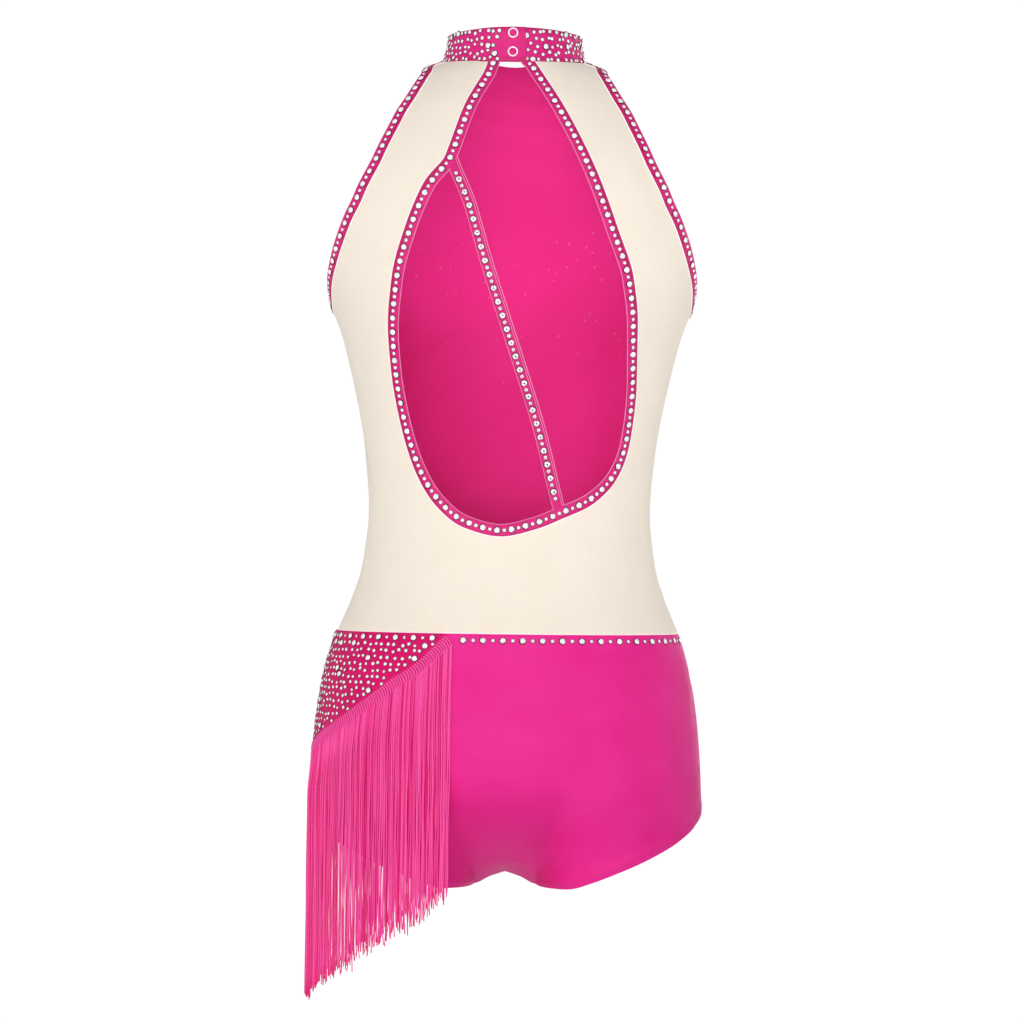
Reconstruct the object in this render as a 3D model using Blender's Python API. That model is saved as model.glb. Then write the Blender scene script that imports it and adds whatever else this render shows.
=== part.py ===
# A sleeveless halter leotard with an open back, an asymmetric hip yoke and a long fringe.
#
# The garment keeps the shape that it has when it is worn. Z is up, the wearer faces +Y, and the
# origin is the centre of the neck seam. Sizes are in millimetres and become metres when a mesh
# is made. A spot on the cloth is (turn, drop): turn is the angle round the body in degrees, 0 at
# the back centre, 90 at the wearer's right side and 180 at the front centre, and drop is how far
# the spot lies below the neck seam.

import math

import bmesh
import bpy
import numpy as np

for old in list(bpy.data.objects):
    bpy.data.objects.remove(old)

# Seams and levels
WAIST_DROP = 455.0
HIP_DROP = 560.0
EDGE_DROP = 660.0
SIDE_SEAM_TURN = 98.0
SEAM_GAP = 0.3
SEAM_GAP_TURN = 0.07
NECK_TOP = 0.15

# Cloth thicknesses
MESH_CLOTH = 1.0
PINK_CLOTH = 1.2
BAND_CLOTH = 1.8
BAND_LIFT = 0.4
BINDING_WIDTH = 10.0

# Neck seam and collar top heights at the back, side and front
NECK_SEAM = (10.0, 12.0, -11.0)
NECK_SEAM_FADE = 120.0
COLLAR_TOP = (38.0, 34.5, 14.0)
COLLAR_CLOTH = 1.9
COLLAR_LAP = COLLAR_CLOTH + SEAM_GAP
COLLAR_UNDER_END_TURN = -14.0
COLLAR_TOP_END_TURN = 368.7
COLLAR_STEP_TURNS = (322.0, 343.0)
COLLAR_COLUMNS = 76
COLLAR_RISES = (0.0, 0.3, 0.65, 1.0)

SNAP_RING = 8.4
SNAP_HOLE = 6.2
SNAP_RISE = 0.9
SNAP_X = -1.5
SNAP_SIDES = 24
SNAP_SHOULDER = 0.6
SNAP_CROWN = 0.45
SNAP_HEIGHTS = {"snap_upper": 33.0, "snap_lower": 17.6}

STRAP_WIDTH = 10.0
STRAP_END_GAP = 0.45
STRAP_COUNT = 26
STRAP_ROWS = 4

HEADER_WIDTH = 10.0
HEADER_CLOTH = 2.2
FRINGE_LENGTH = 205.0
FRINGE_RAGGED = 4.0
STRAND_COUNT = 120
STRAND_SHARE = 0.62
STRAND_CLEARANCE = 1.6
STRAND_FREE_DROP = 585.0
STRAND_LEVELS = (0.25, 0.55, 1.0)

# How closely the drawn lines are followed, and how the panels are divided
KEYHOLE_SPOTS = 400
ARMHOLE_SPOTS = 300
STRAP_SPOTS = 600
YOKE_SPOTS = 60
BODICE_COLUMNS = 20
MESH_PANEL_ROWS = 5
YOKE_ROWS = 5
BRIEF_DROPS = (480, 505, 530, HIP_DROP, 580, 600, 622, 642, EDGE_DROP)
WIDE_TURNS = 7
NEAREST_STEPS = 4

PINK = (0.84, 0.052, 0.318)
DEEP_PINK = (0.68, 0.028, 0.215)
BAND_PINK = (0.79, 0.048, 0.27)
NUDE = (0.93, 0.84, 0.71)
FRINGE_PINK = (0.80, 0.085, 0.31)
SILVER = (0.86, 0.84, 0.86)

# The worn body, level by level
BODY_SECTIONS = (
    # drop, half width, back depth, front depth, squareness
    (0, 61, 53, 53, 2.0),
    (3, 71, 54.5, 53.5, 2.0),
    (7, 82, 57, 54.5, 2.05),
    (14, 96, 61, 56, 2.1),
    (26, 112, 69, 60, 2.15),
    (43, 130, 78, 65, 2.2),
    (73, 148, 91, 76, 2.35),
    (100, 159, 97, 87, 2.4),
    (130, 162, 100, 98, 2.4),
    (160, 156.5, 101, 109, 2.4),
    (190, 147.5, 98, 116.5, 2.35),
    (215, 138.6, 95, 117, 2.3),
    (260, 127.8, 85, 108, 2.25),
    (310, 119, 76, 94, 2.2),
    (355, 115.6, 71, 86, 2.2),
    (400, 120.3, 76, 88, 2.25),
    (430, 129.5, 84, 90.5, 2.3),
    (455, 140, 92, 93, 2.35),
    (500, 152, 106, 95, 2.4),
    (545, 157.6, 113, 92, 2.4),
    (592, 160.5, 112, 84, 2.4),
)

# The brief's lower edge: the crotch seam up to turn 10 and from turn 174, and the leg hem between
LEG_EDGE = (
    # turn, x, y, z, tuck under the body
    (0, 0, -0.4, -651, 0.97),
    (5, 13, -0.4, -655.5, 0.96),
    (10, 24, -0.6, -661, 0.93),
    (13, 29, -25, -661.5, 0.72),
    (17, 38, -52, -661, 0.58),
    (22, 52, -73, -660, 0.45),
    (28, 72, -83, -653.5, 0.35),
    (35, 93, -84, -645, 0.30),
    (45, 116, -75, -635, 0.20),
    (57, 138.5, -56, -623, 0.12),
    (70, 153, -34, -611.5, 0.07),
    (85, 160.2, -8, -600, 0.03),
    (98, 159.7, 16, -592.5, 0.03),
    (115, 147, 40, -587, 0.05),
    (128, 130, 54, -593, 0.10),
    (140, 110, 64, -604, 0.15),
    (150, 88, 71, -618, 0.20),
    (158, 66, 73, -633, 0.30),
    (164, 46, 63, -647, 0.45),
    (168, 34, 40, -656.5, 0.62),
    (171, 27, 14, -660, 0.80),
    (174, 24, 0.6, -661, 0.94),
    (177, 13, 0.4, -655.5, 0.96),
    (180, 0, 0.4, -651, 0.97),
)

# The keyhole seam seen from behind, from the collar on the wearer's left, round to the right
KEYHOLE_SEAM = (
    # x, z
    (-20.5, 14),
    (-24, 3),
    (-40, -27),
    (-52, -61),
    (-56, -71.5),
    (-71, -90),
    (-87, -128),
    (-97, -167),
    (-100, -205),
    (-97, -244),
    (-90, -282),
    (-78, -321),
    (-61, -350),
    (-37, -369),
    (-7, -376),
    (21, -370),
    (43, -361),
    (66, -350),
    (87, -328),
    (97, -300),
    (102, -250),
    (102, -205),
    (98, -167),
    (85, -128),
    (71, -90),
    (58, -61),
    (40, -27),
    (21, 3),
    (14, 14),
)
ARMHOLE_COUNT = 14
SIDE_SEAM_COUNT = 7
KEYHOLE_STATIONS = (
    # share of the seam's length, columns up to the next station
    (0.0, ARMHOLE_COUNT),
    (0.27, 11),
    (0.425, 9),
    (0.5, 9),
    (0.575, 11),
    (0.73, ARMHOLE_COUNT),
    (1.0, 0),
)

# The middle of the diagonal strap seen from behind
STRAP_LINE = (
    # x, z
    (-60, -40),
    (-48, -77),
    (-36, -105),
    (-21.5, -153),
    (-6, -200),
    (23.6, -290),
    (36, -338),
    (45, -372),
)

# The armhole's free edge on the wearer's right, from the back of the collar to its front
ARMHOLE_EDGE = (
    # turn, drop
    (80, -9),
    (77.5, 2),
    (56.5, 11.5),
    (50.5, 21.5),
    (47.5, 35.5),
    (46.6, 51.7),
    (47.2, 72),
    (50.7, 100),
    (54.8, 116),
    (59.3, 133),
    (66, 149),
    (75.5, 166),
    (86, 182),
    (98, 190),
    (108.5, 184),
    (116.5, 168),
    (125.5, 138),
    (131.4, 100),
    (134.3, 63),
    (131.8, 30),
    (121, 10),
    (104, 1),
    (100, -9),
)

# The yoke's lower edge on the back of the hip, which the front repeats in mirror image
YOKE_EDGE = (
    # x, z
    (-50.5, -456.5),
    (-75, -480),
    (-93, -492),
    (-106, -502),
    (-124, -516),
    (-138, -527),
    (-151, -538),
    (-156.6, -546),
)


def through(rows):
    """A smooth function of the first column that passes each row without overshooting."""
    table = np.array(rows, float)
    at = table[:, 0]
    values = table[:, 1:]
    steps = np.diff(at)[:, None]
    slopes = np.diff(values, axis=0) / steps
    before = slopes[:-1]
    after = slopes[1:]
    same = before * after > 0
    mean = np.zeros_like(before)
    mean[same] = 2 * before[same] * after[same] / (before[same] + after[same])
    tangents = np.vstack([slopes[:1], mean, slopes[-1:]])

    def value(x):
        k = int(np.clip(np.searchsorted(at, x) - 1, 0, len(at) - 2))
        width = at[k + 1] - at[k]
        t = (x - at[k]) / width
        return hermite(values[k], tangents[k] * width, values[k + 1], tangents[k + 1] * width, t)

    return value


def hermite(start, start_tangent, end, end_tangent, t):
    rise = t * t * (3 - 2 * t)
    leave = t * (1 - t) ** 2
    arrive = t * t * (t - 1)
    return start * (1 - rise) + end * rise + start_tangent * leave + end_tangent * arrive


def smooth_step(low, high, x):
    t = min(max((x - low) / (high - low), 0.0), 1.0)
    return t * t * (3 - 2 * t)


def signed_power(value, power):
    return math.copysign(abs(value) ** power, value)


section_at = through(BODY_SECTIONS)
leg_edge_at = through(LEG_EDGE)


def blended_height(heights, turn):
    """A height round the neck, from its values at the back, side and front."""
    back, side, front = heights
    across = math.sin(math.radians(turn)) ** 2
    end = back if math.cos(math.radians(turn)) > 0 else front
    return side * across + end * (1 - across)


def ring_point(turn, half_width, back_depth, front_depth, squareness):
    across = math.sin(math.radians(turn))
    along = math.cos(math.radians(turn))
    depth = back_depth if along > 0 else front_depth
    x = half_width * signed_power(across, 2 / squareness)
    y = -depth * signed_power(along, 2 / squareness)
    return x, y


def torso(turn, drop):
    x, y = ring_point(turn, *section_at(drop))
    fade = 1 - smooth_step(0, NECK_SEAM_FADE, drop)
    return np.array([x, y, blended_height(NECK_SEAM, turn) * fade - drop])


def surface(turn, drop):
    """The cloth's outer face, in millimetres."""
    if drop <= HIP_DROP:
        return torso(turn, drop)
    start = torso(turn, HIP_DROP)
    fall = torso(turn, HIP_DROP) - torso(turn, HIP_DROP - 1)
    folded = abs((turn + 180) % 360 - 180)
    x, y, z, tuck = leg_edge_at(folded)
    side = math.copysign(1, math.sin(math.radians(turn)))
    end = np.array([side * x, y, z])
    under = -math.copysign(1, start[1]) * tuck
    arrive = np.array([0, under, -math.sqrt(1 - tuck * tuck)])
    reach = np.linalg.norm(end - start)
    t = (drop - HIP_DROP) / (EDGE_DROP - HIP_DROP)
    return hermite(start, fall * reach, end, arrive * reach, t)


def slopes_at(turn, drop):
    turn_step = 0.4
    drop_step = 0.6
    by_turn = (surface(turn + turn_step, drop) - surface(turn - turn_step, drop)) / (2 * turn_step)
    by_drop = (surface(turn, drop + drop_step) - surface(turn, drop - drop_step)) / (2 * drop_step)
    return by_turn, by_drop


def outward(turn, drop):
    by_turn, by_drop = slopes_at(turn, drop)
    normal = np.cross(by_drop, by_turn)
    return normal / np.linalg.norm(normal)


def raised(turn, drop, lift):
    return surface(turn, drop) + outward(turn, drop) * lift


def back_spot(x, z):
    """The spot on the back of the body that shows at x and z from behind."""
    turn = 0.0
    drop = -z
    for _ in range(12):
        fade = 1 - smooth_step(0, NECK_SEAM_FADE, drop)
        drop = blended_height(NECK_SEAM, turn) * fade - z
        half_width, _, _, squareness = section_at(drop)
        share = min(abs(x) / half_width, 1.0)
        turn = math.copysign(math.degrees(math.asin(share ** (squareness / 2))), x)
    return turn, drop


def drawn_line(rows, count):
    """A smooth line of spots through the rows of a table, close enough to measure along."""
    at = through([(k, *row) for k, row in enumerate(rows)])
    return np.array([at(x) for x in np.linspace(0, len(rows) - 1, count)])


def back_line(rows, count):
    return np.array([back_spot(x, z) for x, z in drawn_line(rows, count)])


def lengths_along(line, flat=False):
    points = np.array([surface(*spot) for spot in line])
    if flat:
        points = points[:, :2]
    steps = np.linalg.norm(np.diff(points, axis=0), axis=1)
    return np.concatenate([[0.0], np.cumsum(steps)])


def sampled(line, places, flat=False):
    """The spots at the given shares of a line's length."""
    along = lengths_along(line, flat)
    wanted = np.array(places) * along[-1]
    return np.stack([np.interp(wanted, along, line[:, k]) for k in (0, 1)], axis=1)


def aside(line, distance):
    """A line moved sideways on the cloth, to its left as seen from outside."""
    points = np.array([surface(*spot) for spot in line])
    travel = np.gradient(points, axis=0)
    moved = []
    for spot, point, along in zip(line, points, travel):
        left = np.cross(outward(*spot), along)
        moved.append(nearest_spot(spot, point + left * distance / np.linalg.norm(left)))
    return np.array(moved)


def nearest_spot(spot, target):
    """The spot of the cloth nearest to a point, searched from a spot close by."""
    for _ in range(NEAREST_STEPS if spot[1] > 0 else 1):
        axes = np.stack(slopes_at(*spot), axis=1)
        spot = spot + np.linalg.lstsq(axes, target - surface(*spot), rcond=None)[0]
    return spot


def below_neck(line):
    """A line cut off where its two ends pass under the neck seam."""
    drops = line[:, 1]
    inside = np.flatnonzero(drops > NECK_TOP)
    first, last = inside[0], inside[-1]
    start = crossing(line[first - 1], line[first])
    end = crossing(line[last + 1], line[last])
    return np.vstack([start, line[first : last + 1], end])


def crossing(above, below):
    share = (NECK_TOP - above[1]) / (below[1] - above[1])
    return above + (below - above) * share


def under_neck(line):
    """Keeps each spot of a seam line under the neck seam."""
    kept = line.copy()
    kept[:, 1] = np.maximum(kept[:, 1], NECK_TOP)
    return kept


def ruled(start_line, end_line, count):
    """Rows of spots across the cloth between two lines."""
    shares = np.linspace(0, 1, count + 1)
    return np.array([start_line * (1 - share) + end_line * share for share in shares])


def material(name, colour, roughness, metallic=0.0):
    look = bpy.data.materials.new(name)
    look.use_nodes = True
    shader = look.node_tree.nodes["Principled BSDF"]
    shader.inputs["Base Color"].default_value = (*colour, 1)
    shader.inputs["Roughness"].default_value = roughness
    shader.inputs["Metallic"].default_value = metallic
    look.diffuse_color = (*colour, 1)
    return look


def add_mesh(name, mesh, look):
    bmesh.ops.recalc_face_normals(mesh, faces=mesh.faces)
    data = bpy.data.meshes.new(name)
    mesh.to_mesh(data)
    mesh.free()
    data.materials.append(look)
    data.shade_smooth()
    data.set_sharp_from_angle(angle=math.radians(40))
    part = bpy.data.objects.new(name, data)
    bpy.context.scene.collection.objects.link(part)
    return part


def grid_vertices(mesh, points):
    return [[mesh.verts.new(point * 0.001) for point in row] for row in points]


def bridge(mesh, first, second):
    """Quads between two rows of vertices."""
    for k in range(len(first) - 1):
        mesh.faces.new((first[k], first[k + 1], second[k + 1], second[k]))


def wall_mesh(outer_points, inner_points):
    """A closed wall between an outer and an inner grid of points."""
    mesh = bmesh.new()
    outer = grid_vertices(mesh, outer_points)
    inner = grid_vertices(mesh, inner_points)
    for layer in (outer, inner):
        for row, following in zip(layer, layer[1:]):
            bridge(mesh, row, following)
    bridge(mesh, outer[0], inner[0])
    bridge(mesh, outer[-1], inner[-1])
    for end in (0, -1):
        bridge(mesh, [row[end] for row in outer], [row[end] for row in inner])
    return mesh


def panel(name, spots, lift, thickness, look):
    outer = np.array([[raised(*spot, lift) for spot in row] for row in spots])
    inner = np.array([[raised(*spot, lift - thickness) for spot in row] for row in spots])
    return add_mesh(name, wall_mesh(outer, inner), look)


def mirrored(spots):
    flipped = np.array(spots)
    flipped[..., 0] = -flipped[..., 0]
    return flipped


def collar_point(turn, rise, lift):
    """A point of the collar band, from its seam at rise 0 to its top edge at rise 1."""
    half_width, half_depth = collar_size_at(rise)
    low = blended_height(NECK_SEAM, turn) + SEAM_GAP
    high = blended_height(COLLAR_TOP, turn)
    x, y = ring_point(turn, half_width + lift, half_depth + lift, half_depth + lift, 2.0)
    return np.array([x, y, low + (high - low) * rise])


# The collar band opens out a little towards its seam
collar_size_at = through(
    (
        # rise, half width, half depth
        (0.0, 60.5, 52.8),
        (0.3, 57.4, 51.6),
        (0.65, 55.6, 50.6),
        (1.0, 55.0, 50.2),
    )
)


def collar_band(look):
    """One wall that goes once round the neck, its left end stepping out over its right end."""
    turns = np.linspace(COLLAR_UNDER_END_TURN, COLLAR_TOP_END_TURN, COLLAR_COLUMNS)
    layers = []
    for depth in (0.0, -COLLAR_CLOTH):
        layers.append(
            np.array(
                [
                    [
                        collar_point(turn, rise, depth + COLLAR_LAP * smooth_step(*COLLAR_STEP_TURNS, turn))
                        for turn in turns
                    ]
                    for rise in COLLAR_RISES
                ]
            )
        )
    return add_mesh("collar_band", wall_mesh(*layers), look)


def snap(name, height, look):
    """An open ring snap that stands on the collar's upper lap."""
    outer = SNAP_RING / 2
    inner = SNAP_HOLE / 2
    middle = (outer + inner) / 2
    half = (outer - inner) / 2
    profile = (
        # radius, rise
        (inner, 0),
        (inner, SNAP_RISE * SNAP_SHOULDER),
        (middle - half * SNAP_CROWN, SNAP_RISE),
        (middle + half * SNAP_CROWN, SNAP_RISE),
        (outer, SNAP_RISE * SNAP_SHOULDER),
        (outer, 0),
    )
    low = blended_height(NECK_SEAM, 0) + SEAM_GAP
    rise = (height - low) / (blended_height(COLLAR_TOP, 0) - low)
    turn = -math.degrees(math.asin(abs(SNAP_X) / (collar_size_at(rise)[1] + COLLAR_LAP)))
    upper = collar_point(turn, min(rise + 0.15, 1), COLLAR_LAP)
    lower = collar_point(turn, rise - 0.15, COLLAR_LAP)
    up = (upper - lower) / np.linalg.norm(upper - lower)
    out = np.cross(up, [1.0, 0.0, 0.0])
    out *= -math.copysign(1, out[1]) / np.linalg.norm(out)
    right = np.cross(up, out)
    seat = collar_point(turn, rise, COLLAR_LAP) + out * (SEAM_GAP + 0.05)
    mesh = bmesh.new()
    rings = []
    for k in range(SNAP_SIDES):
        angle = 2 * math.pi * k / SNAP_SIDES
        spoke = right * math.cos(angle) + up * math.sin(angle)
        rings.append([mesh.verts.new((seat + spoke * r + out * h) * 0.001) for r, h in profile])
    for k in range(SNAP_SIDES):
        ring = rings[k]
        following = rings[(k + 1) % SNAP_SIDES]
        bridge(mesh, ring + ring[:1], following + following[:1])
    return add_mesh(name, mesh, look)


def keyhole_lines():
    """The keyhole's seam line, and the free edge of its binding."""
    full = back_line(KEYHOLE_SEAM, KEYHOLE_SPOTS)
    seam = below_neck(full)
    free = below_neck(aside(full, BINDING_WIDTH))
    places = []
    for (start, count), (end, _) in zip(KEYHOLE_STATIONS, KEYHOLE_STATIONS[1:]):
        places.extend(start + (end - start) * k / count for k in range(count))
    places.append(1.0)
    return sampled(seam, places), sampled(free, places)


def armhole_lines():
    """The right armhole's seam line and free edge, back half and then front half."""
    full = drawn_line(ARMHOLE_EDGE, ARMHOLE_SPOTS)
    free = below_neck(full)
    seam = below_neck(aside(full, -BINDING_WIDTH))
    return halves(seam), halves(free)


def halves(line):
    """Spots along an armhole line, with one exactly at the side seam."""
    lowest = int(np.argmax(line[:, 1]))
    places = np.linspace(0, 1, ARMHOLE_COUNT + 1)
    back = sampled(line[: lowest + 1], places)
    front = sampled(line[lowest:], places)
    back[-1, 0] = SIDE_SEAM_TURN
    front[0, 0] = SIDE_SEAM_TURN
    return np.vstack([back, front[1:]])


def armhole_bindings(seam, free, look):
    edge = under_neck(aside(seam, SEAM_GAP))
    strip = ruled(free, edge, 1)
    panel("armhole_binding_right", strip, BAND_LIFT, BAND_CLOTH, look)
    panel("armhole_binding_left", mirrored(strip), BAND_LIFT, BAND_CLOTH, look)


def side_seam_line(turn, top, count):
    drops = np.linspace(top, WAIST_DROP - SEAM_GAP / 2, count + 1)[1:]
    return np.array([(turn, drop) for drop in drops])


def back_mesh_panel(keyhole, armhole, look):
    """One U-shaped mesh panel from the collar, round under the keyhole and up again."""
    columns = [count for _, count in KEYHOLE_STATIONS]
    turn = SIDE_SEAM_TURN - SEAM_GAP_TURN
    under = armhole[: ARMHOLE_COUNT + 1].copy()
    under[-1, 0] = turn
    side = side_seam_line(turn, under[-1, 1], columns[1])
    waist = [(turn * (1 - k / columns[2]), side[-1, 1]) for k in range(1, columns[2] + 1)]
    right = np.vstack([under, side, waist])
    outer = np.vstack([mirrored(right), right[-2::-1]])
    panel("back_mesh_panel", ruled(keyhole, outer, MESH_PANEL_ROWS), 0.0, MESH_CLOTH, look)


def front_bodice(armhole, look):
    """The front from side seam to side seam, with the neck seam above and the waist below."""
    turn = SIDE_SEAM_TURN + SEAM_GAP_TURN
    upper = armhole[ARMHOLE_COUNT:][::-1].copy()
    upper[-1, 0] = turn
    right = np.vstack([upper, side_seam_line(turn, upper[-1, 1], SIDE_SEAM_COUNT)])
    left = right.copy()
    left[:, 0] = 360 - left[:, 0]
    spots = ruled(right, left, BODICE_COLUMNS).transpose(1, 0, 2)
    panel("front_bodice", spots, 0.0, PINK_CLOTH, look)


def keyhole_binding(seam, free, look):
    edge = under_neck(aside(seam, SEAM_GAP))
    panel("keyhole_binding", ruled(free, edge, 1), BAND_LIFT, BAND_CLOTH, look)


def within(spot, outline):
    """Whether a spot lies inside a closed outline of spots."""
    turn, drop = spot
    inside = False
    for (t0, d0), (t1, d1) in zip(outline, np.roll(outline, -1, axis=0)):
        if (d0 > drop) != (d1 > drop) and turn < t0 + (drop - d0) / (d1 - d0) * (t1 - t0):
            inside = not inside
    return inside


def back_strap(free, look):
    """The diagonal strap across the keyhole, its ends cut along the binding's free edge."""
    hole = aside(free, STRAP_END_GAP)
    middle = back_line(STRAP_LINE, STRAP_SPOTS)
    rows = []
    for distance in np.linspace(STRAP_WIDTH / 2, -STRAP_WIDTH / 2, STRAP_ROWS):
        row = aside(middle, distance)
        kept = np.array([spot for spot in row if within(spot, hole)])
        rows.append(sampled(kept, np.linspace(0, 1, STRAP_COUNT + 1)))
    panel("back_strap", rows, BAND_LIFT, BAND_CLOTH, look)


def brief_turns(start, end):
    """Turns that follow the corners of the leg edge, with one more in each wide stretch."""
    corners = [row[0] for row in LEG_EDGE]
    corners = sorted({*corners, *(360 - turn for turn in corners), *(-turn for turn in corners)})
    wide = [(a + b) / 2 for a, b in zip(corners, corners[1:]) if b - a > WIDE_TURNS]
    return [start, *(turn for turn in sorted(corners + wide) if start + 1 < turn < end - 1), end]


def brief(name, start, end, look):
    drops = [WAIST_DROP + SEAM_GAP / 2, *BRIEF_DROPS]
    turns = brief_turns(start + SEAM_GAP_TURN, end - SEAM_GAP_TURN)
    spots = [[(turn, drop) for turn in turns] for drop in drops]
    panel(name, spots, 0.0, PINK_CLOTH, look)


def yoke_line():
    """The yoke's lower edge from the back, round the left hip, to the front."""
    back = back_line(YOKE_EDGE, YOKE_SPOTS)
    back[-1, 0] = -90.0
    front = back[-2::-1].copy()
    front[:, 0] = -180 - front[:, 0]
    return np.vstack([back, front])


def hip_yoke(line, look):
    """The yoke lies on the brief, made from the same turns and moved out."""
    start, end = line[-1, 0], line[0, 0]
    turns = brief_turns(start, end)
    lower = [np.interp(turn, line[::-1, 0], line[::-1, 1]) for turn in turns]
    upper = WAIST_DROP + SEAM_GAP
    rows = np.linspace(0, 1, YOKE_ROWS)
    spots = [[(t, upper + (d - upper) * row) for t, d in zip(turns, lower)] for row in rows]
    panel("hip_yoke", spots, SEAM_GAP + PINK_CLOTH, PINK_CLOTH, look)


def pushed_out(point, out, drop):
    """How far a hanging strand moves out so that it clears the hip at a drop."""
    half_width, back, front, squareness = section_at(drop)
    low, high = 0.0, 60.0
    for _ in range(24):
        reach = (low + high) / 2
        x, y = point[:2] + out[:2] * reach
        depth = (back if y < 0 else front) + STRAND_CLEARANCE
        width = half_width + STRAND_CLEARANCE
        covered = (abs(x) / width) ** squareness + (abs(y) / depth) ** squareness
        low, high = (reach, high) if covered < 1 else (low, reach)
    return high


def hip_fringe(line, look):
    """A woven header with separate strands that grow from its lower face."""
    rng = np.random.default_rng(7)
    cells = [0.0]
    for k in range(STRAND_COUNT):
        start = k / (STRAND_COUNT - 1 + STRAND_SHARE)
        width = STRAND_SHARE / (STRAND_COUNT - 1 + STRAND_SHARE)
        cells.extend([start, start + width] if k else [width])
    top = sampled(aside(line, SEAM_GAP), cells, flat=True)
    bottom = aside(top, HEADER_WIDTH)
    lift = SEAM_GAP
    mesh = bmesh.new()
    corners = {}
    for edge, spots in (("top", top), ("bottom", bottom)):
        for face, height in (("inner", lift), ("outer", lift + HEADER_CLOTH)):
            points = [raised(*spot, height) for spot in spots]
            corners[edge, face] = grid_vertices(mesh, [points])[0]
    bridge(mesh, corners["top", "outer"], corners["bottom", "outer"])
    bridge(mesh, corners["top", "inner"], corners["bottom", "inner"])
    bridge(mesh, corners["top", "outer"], corners["top", "inner"])
    inner, outer = corners["bottom", "inner"], corners["bottom", "outer"]
    for end in (0, -1):
        mesh.faces.new([corners["top", "outer"][end], outer[end], inner[end], corners["top", "inner"][end]])
    for k in range(len(bottom) - 1):
        root = (inner[k], inner[k + 1], outer[k + 1], outer[k])
        if k % 2:
            mesh.faces.new(root)
            continue
        spot = (bottom[k] + bottom[k + 1]) / 2
        foot = surface(*top[k])[2] - FRINGE_LENGTH + rng.uniform(-FRINGE_RAGGED, FRINGE_RAGGED)
        strand(mesh, root, spot, foot)
    return add_mesh("hip_fringe", mesh, look)


def strand(mesh, root, spot, foot):
    """One strand: it follows the hip out to its widest level and then hangs straight down."""
    start = raised(*spot, SEAM_GAP)
    out = outward(*spot) * np.array([1, 1, 0])
    out /= np.linalg.norm(out)
    levels = [spot[1] + (STRAND_FREE_DROP - spot[1]) * share for share in STRAND_LEVELS]
    reach = 0.0
    ring = root
    corners = [np.array(vertex.co) * 1000 for vertex in root]
    for height in [*(-level for level in levels), foot]:
        if -height <= STRAND_FREE_DROP:
            reach = max(reach, pushed_out(start, out, -height))
        lower = []
        for corner in corners:
            place = corner + out * reach
            place[2] = corner[2] + height - start[2] if height != foot else foot
            lower.append(mesh.verts.new(place * 0.001))
        bridge(mesh, [*ring, ring[0]], [*lower, lower[0]])
        ring = lower
    mesh.faces.new(ring)


pink_satin = material("pink_satin", PINK, 0.42)
pink_band = material("pink_band", BAND_PINK, 0.45)
deep_satin = material("deep_satin", DEEP_PINK, 0.45)
nude_mesh = material("nude_mesh", NUDE, 0.7)
fringe_yarn = material("fringe_yarn", FRINGE_PINK, 0.5)
snap_metal = material("snap_metal", SILVER, 0.25, 0.9)

keyhole_seam, keyhole_free = keyhole_lines()
armhole_seam, armhole_free = armhole_lines()
yoke_edge = yoke_line()

collar_band(pink_band)
for snap_name, snap_height in SNAP_HEIGHTS.items():
    snap(snap_name, snap_height, snap_metal)
front_bodice(armhole_seam, deep_satin)
back_mesh_panel(keyhole_seam, armhole_seam, nude_mesh)
keyhole_binding(keyhole_seam, keyhole_free, pink_band)
back_strap(keyhole_free, pink_band)
armhole_bindings(armhole_seam, armhole_free, pink_band)
brief("brief_back", -SIDE_SEAM_TURN, SIDE_SEAM_TURN, pink_satin)
brief("brief_front", SIDE_SEAM_TURN, 360 - SIDE_SEAM_TURN, pink_satin)
hip_yoke(yoke_edge, pink_band)
hip_fringe(yoke_edge, fringe_yarn)
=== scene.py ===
import math

import bpy
import numpy as np
from mathutils import Matrix, Vector


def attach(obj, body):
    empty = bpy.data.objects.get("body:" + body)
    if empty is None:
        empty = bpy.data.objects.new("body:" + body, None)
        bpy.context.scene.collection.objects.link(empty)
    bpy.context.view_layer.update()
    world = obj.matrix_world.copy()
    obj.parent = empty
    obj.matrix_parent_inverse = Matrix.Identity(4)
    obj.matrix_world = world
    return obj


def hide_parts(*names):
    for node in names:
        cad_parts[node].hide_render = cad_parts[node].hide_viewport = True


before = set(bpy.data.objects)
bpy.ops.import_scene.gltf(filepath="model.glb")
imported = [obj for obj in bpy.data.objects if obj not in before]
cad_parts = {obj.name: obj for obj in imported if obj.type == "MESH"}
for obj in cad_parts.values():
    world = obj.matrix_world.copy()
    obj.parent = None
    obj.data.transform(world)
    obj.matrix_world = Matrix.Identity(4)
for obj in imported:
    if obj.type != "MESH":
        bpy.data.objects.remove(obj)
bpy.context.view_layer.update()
random = np.random.default_rng(41)
print("frame loaded")

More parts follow.
